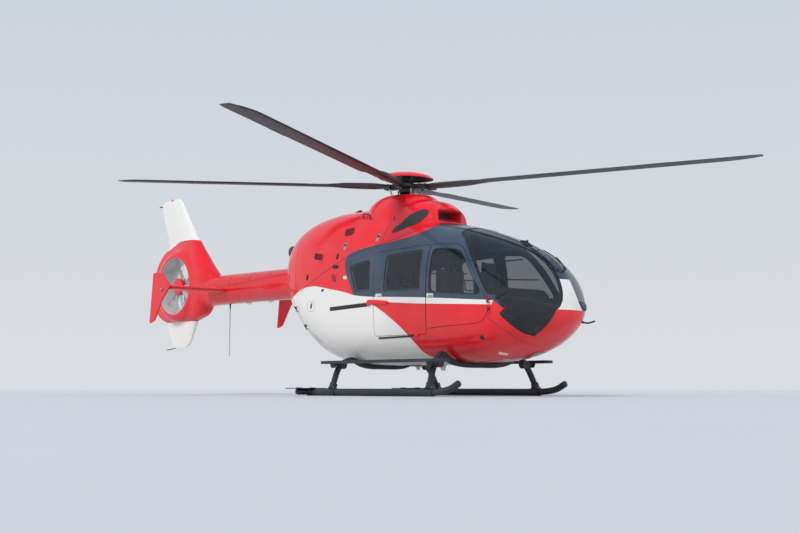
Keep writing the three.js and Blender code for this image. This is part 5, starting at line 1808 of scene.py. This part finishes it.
def hinge(start, end, to_leaf, spots, look, sizes):
    """Knuckles and plates of one door's hinges: those of the leaf, and those of the frame."""
    radius, leaf_width, frame_width, reach = sizes
    start, axis = Vector(start), (Vector(end) - Vector(start)).normalized()
    leaf_way = Vector(to_leaf)
    leaf_way = (leaf_way - axis * leaf_way.dot(axis)).normalized()
    inward = axis.cross(leaf_way)
    if inward.dot(CABIN_MIDDLE - start) < 0:
        inward.negate()
    half, outer = leaf_width / 2, leaf_width / 2 + HINGE_PLAY
    leaf_parts, frame_parts = [], []
    for along in spots:
        for low, high, side, target in (
                (-half, half, 1, leaf_parts), (outer, outer + frame_width, -1, frame_parts),
                (-outer - frame_width, -outer, -1, frame_parts)):
            ends = [start + axis * (along + low), start + axis * (along + high)]
            target.append((cylinder(radius, *ends, 28), DARK_METAL))
            rings = [[start + axis * (along + h) + leaf_way * (u * side) + inward * v
                      for u, v in ((0, 4 - radius), (reach, -2), (reach, HINGE_DEPTH), (0, HINGE_DEPTH))]
                     for h in (low + 1, high - 1)]
            target.append((loft(rings), look))
    return leaf_parts, frame_parts


for name, hinge_facts in HINGES.items():
    leaf_parts, frame_parts = hinge(*hinge_facts)
    part_pair(f"{name}_hinge_leaf", on_doors(name), leaf_parts, bevel=1.5, segments=2)
    part_pair(f"{name}_hinge_frame", STILL, frame_parts, bevel=1.5, segments=2)

# Intake grilles on the scoop, and the mesh in its mouth. The grille lies on the scoop, slightly enlarged.
SCOOP_MIDDLE = (530, 0, 2500)
SIDE_GRILLE = rounded([
    (312, 2290), (345, 2385), (420, 2475), (545, 2555), (715, 2618), (782, 2596), (792, 2520), (716, 2440),
    (560, 2358), (420, 2300)], 24, 5)
enlarged = shaped(scoop_form(), shift(*[-v for v in SCOOP_MIDDLE]), Matrix.Diagonal((1.008, 1.012, 1.010, 1)),
                  shift(*SCOOP_MIDDLE))
part_pair("side_intake_grille", STILL, [
    (csg(csg(enlarged, ("-", scoop_form())), ("&", prism(SIDE_GRILLE, -WIDE, -150))), DARK_MESH),
    (on_side([SIDE_GRILLE], 2.5), DARK_MESH)])
part("scoop_mesh", "airframe", [(box(636, 642, -213, 213, 2468, 2598), DARK_MESH)])
lip = csg(prism(rounded(oblong(-228, 228, 2452, 2613), 26), 600, 880, "x"),
          ("-", prism(rounded(oblong(-211, 211, 2469, 2596), 16), 590, 890, "x")), ("&", scoop_form()))
part("scoop_lip", "airframe", [(lip, RED_PAINT)])


# Grab handles on the cowls' top, roof aerial, cutter, wipers and the rod down the middle post

def grab_handle(sign):
    a, b = along_top([(-410, 525 * sign), (-250, 525 * sign)], -6)
    raised = [(p[0] + lean, p[1] + 14 * sign, p[2] + 62) for p, lean in ((a, 4), (b, -4))]
    return tube([a, *raised, b], 9, 34, 14), DARK_TRIM


def roof_aerial():
    x, _, z = on_top(1310, 0, -4)
    yield cylinder(5, (x, 0, z), (x - 118, 0, z + 368), 14, 2.5), WHITE_PAINT
    yield cylinder(24, (x + 4, 0, z - 4), (x - 2, 0, z + 16), 28, 14), WHITE_PAINT


def wire_cutter():
    foot = [(x, z) for x, _, z in along_top([(x, 0) for x in (2200, 2280, 2360, 2430)], -6)]
    # Columns: x, which point of the foot line it stands over, height over it.
    crest = [(x, foot[k][1] + height) for x, k, height in (
        (2420, 3, 16), (2372, 2, 34), (2352, 2, 36), (2344, 2, 78), (2322, 2, 66), (2290, 1, 34),
        (2225, 0, 12))]
    return prism(foot + crest, -5, 5), DARK_TRIM


def post_rod():
    yield tube(along_top([(x, 0) for x in (2390, 2520, 2640, 2760, 2860, 2930)], 15), 4, 40, 10), DARK_TRIM
    for x in (2520, 2760, 2915):
        yield cylinder(8, on_top(x, 0, -5), on_top(x, 0, 17), 14), DARK_TRIM


def wiper(sign):
    """Its pivot, arm, blade and the pin between them. Sign is -1 to starboard, 1 to port."""
    yield cylinder(19, on_top(2900, 58 * sign, -6), on_top(2900, 58 * sign, 32), 24, 15), DARK_TRIM
    arm = along_top([(2900, 58 * sign), (2850, 92 * sign), (2780, 120 * sign), (2700, 134 * sign)], 26)
    yield sweep(curve_points(arm, 24), oblong(-6, 6, -3, 3)), DARK_TRIM
    edge = [(2870, 144), (2790, 148), (2690, 142), (2590, 128), (2510, 116)]
    edge = along_top([(x, y * sign) for x, y in edge], 10)
    yield sweep(curve_points(edge, 30), [(-4, -9), (4, -9), (5, 3), (-5, 3)]), RUBBER
    yield cylinder(6, arm[-1], on_top(2700, 142 * sign, 8), 12), DARK_TRIM


def corner_arm(sign):
    """The motor cover at the windscreen's lower rear corner, with a short second arm."""
    flip = Vector((1, -sign, 1))
    spot, normal = side_point(2440, 1262)
    spot, normal = spot * flip, normal * flip
    yield cylinder(24, local(spot - normal * 0.006), local(spot + normal * 0.024), 24, 17), DARK_TRIM
    stops = [side_point(x, z) for x, z in ((2440, 1266), (2500, 1292), (2580, 1330))]
    stops = [local((spot + normal * 0.017) * flip) for spot, normal in stops]
    yield sweep(curve_points(stops, 16), oblong(-5, 5, -3, 3)), DARK_TRIM


roof = [grab_handle(-1), grab_handle(1), *roof_aerial(), wire_cutter(), *post_rod()]
for sign in (-1, 1):
    roof += [*wiper(sign), *corner_arm(sign)]
part("roof_fittings", "airframe", roof, bevel=1.5, segments=2)


# Under the nose and belly

def below(outline, lift):
    return csg(pod_layer(lift, 1.5, True), ("&", prism(outline, 380, 800, "z")))


def lamp_outline(x, y, radius):
    return [(x + p, y + q) for p, q in circle(radius, 32)]


def belly_aerial(x0, x1, y, width, taper, rows):
    """A swept-back blade aerial. Rows: z, how far back its rear edge lies there."""
    return loft([[(p, q, z) for p, q in line([(x0 + t, y), (x1 - t * 0.4, y)], width - t * taper)]
                 for z, t in rows]), WHITE_PAINT


# Columns: outline in plan, lift, look
BELLY_PLATES = [
    (plate(2223, -359, 120, 62, 62, 8), 2.5, WHITE_PAINT),
    (plate(2035, -108, 96, 54, 62, 8), 2.5, WHITE_PAINT),
    (lamp_outline(2446, 60, 92), 6, RED_PAINT), (lamp_outline(2446, 60, 74), 8, DARK_METAL),
    (lamp_outline(2446, 60, 66), 12, CLEAR_LENS), (lamp_outline(2178, 143, 58), 5, DARK_METAL),
    (lamp_outline(2178, 143, 48), 9, CLEAR_LENS), (plate(700, 0, 180, 110, 0, 30), 3, WHITE_PAINT),
    (plate(-300, 120, 120, 120, 0, 12), 2.5, WHITE_PAINT), (plate(950, 180, 260, 180, 0, 18), 1, NAVY_PAINT),
]
part("belly_fittings", "airframe", [
    *[(below(outline, lift), look) for outline, lift, look in BELLY_PLATES],
    belly_aerial(620, 780, 0, 12, 0.04, ((436, 0), (400, 30), (352, 70))),
    belly_aerial(-100, 20, 210, 10, 0, ((440, 0), (404, 20), (372, 50))),
    (cylinder(38, (-860, 0, 480), (-860, 0, 434), 28, 26), RED_LENS),
    (box(1, 199, -89, 89, 421, 445), DARK_METAL),
], bevel=1.5, segments=1)
part("nose_probe", "airframe", [
    (tube([(2935, 350, 968), (2985, 420, 952), (3030, 452, 960), (3076, 462, 975)], 11, 30, 16), DARK_TRIM),
    (cylinder(20, (2925, 338, 972), (2958, 384, 958), 20, 14), DARK_TRIM)])

# Black strips along the cowl's slanted rear edge, round the exhausts
edge_zone = prism([(-2552, 2092), (-2212, 2584), (-2180, 2562), (-2520, 2070)], -WIDE, WIDE)
part("exhaust_edge", "airframe", [(csg(pod_layer(3, 2, True), ("&", edge_zone)), DARK_TRIM)])

# Tail: drive cover with its bands, lamps, aerials, and the rod under the boom
COVER_LINE = [(-2470, 1952), (-2764, 1938), (-3700, 1884), (-4532, 1840), (-4960, 1838)]
# Profiles of the lamps and the boom's domes: radius, height over the foot
DOME_PROFILE = [(0, -6), (40, -6), (52, -2), (50, 10), (36, 24), (16, 30), (0, 31)]
FIN_LAMP_PROFILE = [(0, -8), (30, -8), (30, 6), (24, 20), (10, 28), (0, 29)]
PLATE_LAMP_PROFILE = [(0, 0), (20, 0), (20, 8), (15, 26), (6, 36), (0, 37)]


def boom_cover(x0, x1, lift):
    """The boom's top between two stations, over the cover's line, with a lift in mm."""
    zone = prism([*COVER_LINE, (-4960, FAR), (-2470, FAR)], -WIDE, WIDE)
    return csg(oval_form(BOOM_SECTIONS, lift), ("-", oval_form(BOOM_SECTIONS, -2)), ("&", zone),
               ("&", box(x0, x1, -WIDE, WIDE, 0, FAR)))


def dome(x, z):
    return shaped(turned(DOME_PROFILE, 28), Matrix.Diagonal((1.3, 0.8, 1, 1)), turn(180, "X"), shift(x, 0, z))


def plate_lamp(profile, y):
    return shaped(turned(profile, 24), turn(90, "X"), shift(-4632, y, 1740))


part("tail_fittings", "airframe", [
    (boom_cover(-4955, -2600, 7), RED_PAINT),
    *[(boom_cover(x - 3, x + 3, 8.4), DARK_METAL) for x in (-3180, -3760, -4340)],
    (dome(-3416, 1551), WHITE_PAINT), (dome(-4040, 1548), WHITE_PAINT),
    (cylinder(16, (-4600, 0, 1560), (-4600, 0, 1462), 20, 9), DARK_TRIM),
    (cylinder(5.5, (-4600, 0, 1466), (-4606, 0, 660), 14, 3.5), GEAR),
    (tube([(-6300, 0, 852), (-6400, 0, 826), (-6520, 0, 812), (-6640, 0, 806)], 8, 24, 12), GEAR),
    (shaped(turned(FIN_LAMP_PROFILE, 28), shift(-6510, 0, 3560)), RED_LENS),
    (tube([(-6862, 0, 3478), (-6920, 0, 3486), (-6960, 0, 3492)], 9, 16, 12), DARK_TRIM),
    (cylinder(17, (-6950, 0, 3490), (-6992, 0, 3495), 20, 12), CLEAR_LENS),
], bevel=1.2, segments=1)
part_pair("end_plate_lamp", STILL, [
    (plate_lamp(PLATE_LAMP_PROFILE, -1337), CLEAR_LENS),
    (plate_lamp([(0, -2), (27, -2), (27, 6), (0, 6)], -1336), DARK_METAL)])


# Camera, light and floor

CAMERA_DISTANCE = 19.1
CAMERA_AZIMUTH = math.radians(49.8)
CAMERA_HEIGHT = 0.12
CAMERA_CENTRE_X = 0.256
LENS = 56.77
AIM = (0.60, 0.41, 1.95)
# Name, place, strength, angle, colour
LAMPS = [
    ("key_light", (2.0, -13.0, 12.5), 2.1, 24, (1.0, 0.98, 0.95)),
    ("fill_light", (15.0, 5.0, 8.0), 0.7, 50, (0.95, 0.97, 1.0)),
    ("rim_light", (-13.0, 9.0, 10.0), 0.8, 50, (0.96, 0.98, 1.0)),
]
HORIZON = (0.76, 0.785, 0.82)
SKY = [(0.0, HORIZON), (0.3, (0.66, 0.71, 0.78)), (0.9, (0.34, 0.43, 0.58))]
SKY_STRENGTH = 0.92
FLOOR_HALF = 90000
FLOOR_FADE = (20.0, 60.0)
scene = bpy.context.scene


def aim(obj, place, target):
    obj.location = place
    obj.rotation_euler = (Vector(target) - obj.location).to_track_quat("-Z", "Y").to_euler()


camera = link(bpy.data.objects.new("camera", bpy.data.cameras.new("camera")))
camera.data.lens = LENS
camera.data.sensor_width = 36
camera.data.clip_end = 200
aim(camera, (CAMERA_CENTRE_X + CAMERA_DISTANCE * math.sin(CAMERA_AZIMUTH),
             -CAMERA_DISTANCE * math.cos(CAMERA_AZIMUTH), CAMERA_HEIGHT), AIM)
scene.camera = camera
for name, place, strength, angle, colour in LAMPS:
    light = link(bpy.data.objects.new(name, bpy.data.lights.new(name, "SUN")))
    light.data.energy = strength
    light.data.angle = math.radians(angle)
    light.data.color = colour
    light.visible_glossy = light.visible_transmission = False
    aim(light, place, (0, 0, 0))

scene.view_settings.view_transform = "Standard"
world = bpy.data.worlds.new("studio")
scene.world = world
world.use_nodes = True
nodes, links = world.node_tree.nodes, world.node_tree.links
direction = nodes.new("ShaderNodeTexCoord")
upward = nodes.new("ShaderNodeSeparateXYZ")
ramp = nodes.new("ShaderNodeValToRGB")
links.new(direction.outputs["Generated"], upward.inputs[0])
links.new(upward.outputs[2], ramp.inputs[0])
ramp.color_ramp.elements.new(0.5)
for stop, (height, colour) in zip(ramp.color_ramp.elements, SKY):
    stop.position, stop.color = height, (*colour, 1)
links.new(ramp.outputs[0], nodes["Background"].inputs[0])
nodes["Background"].inputs[1].default_value = SKY_STRENGTH


def floor_material():
    """Pale, and fading into the backdrop well away from the helicopter."""
    look = Look("floor", roughness=0.85).mottled((0.54, 0.545, 0.55), (0.57, 0.575, 0.58), 0.6, 5.0)
    away = look.scale(look.distance(look.x, look.y), *FLOOR_FADE, kind="SMOOTHSTEP")
    glow = look.node("Emission", {0: HORIZON, 1: SKY_STRENGTH})
    surface = look.node("MixShader", {0: away, 1: look.shader.outputs[0], 2: glow})
    look.put(look.tree.nodes["Material Output"].inputs[0], surface)
    return look.material


corners = oblong(-FLOOR_HALF, FLOOR_HALF, -FLOOR_HALF, FLOOR_HALF)
floor = link(new_object("floor", [(x, y, 0) for x, y in corners], [(0, 1, 2, 3)]))
floor.data.materials.append(floor_material())

for obj in temporary:
    mesh = obj.data
    bpy.data.objects.remove(obj)
    if mesh.users == 0:
        bpy.data.meshes.remove(mesh)
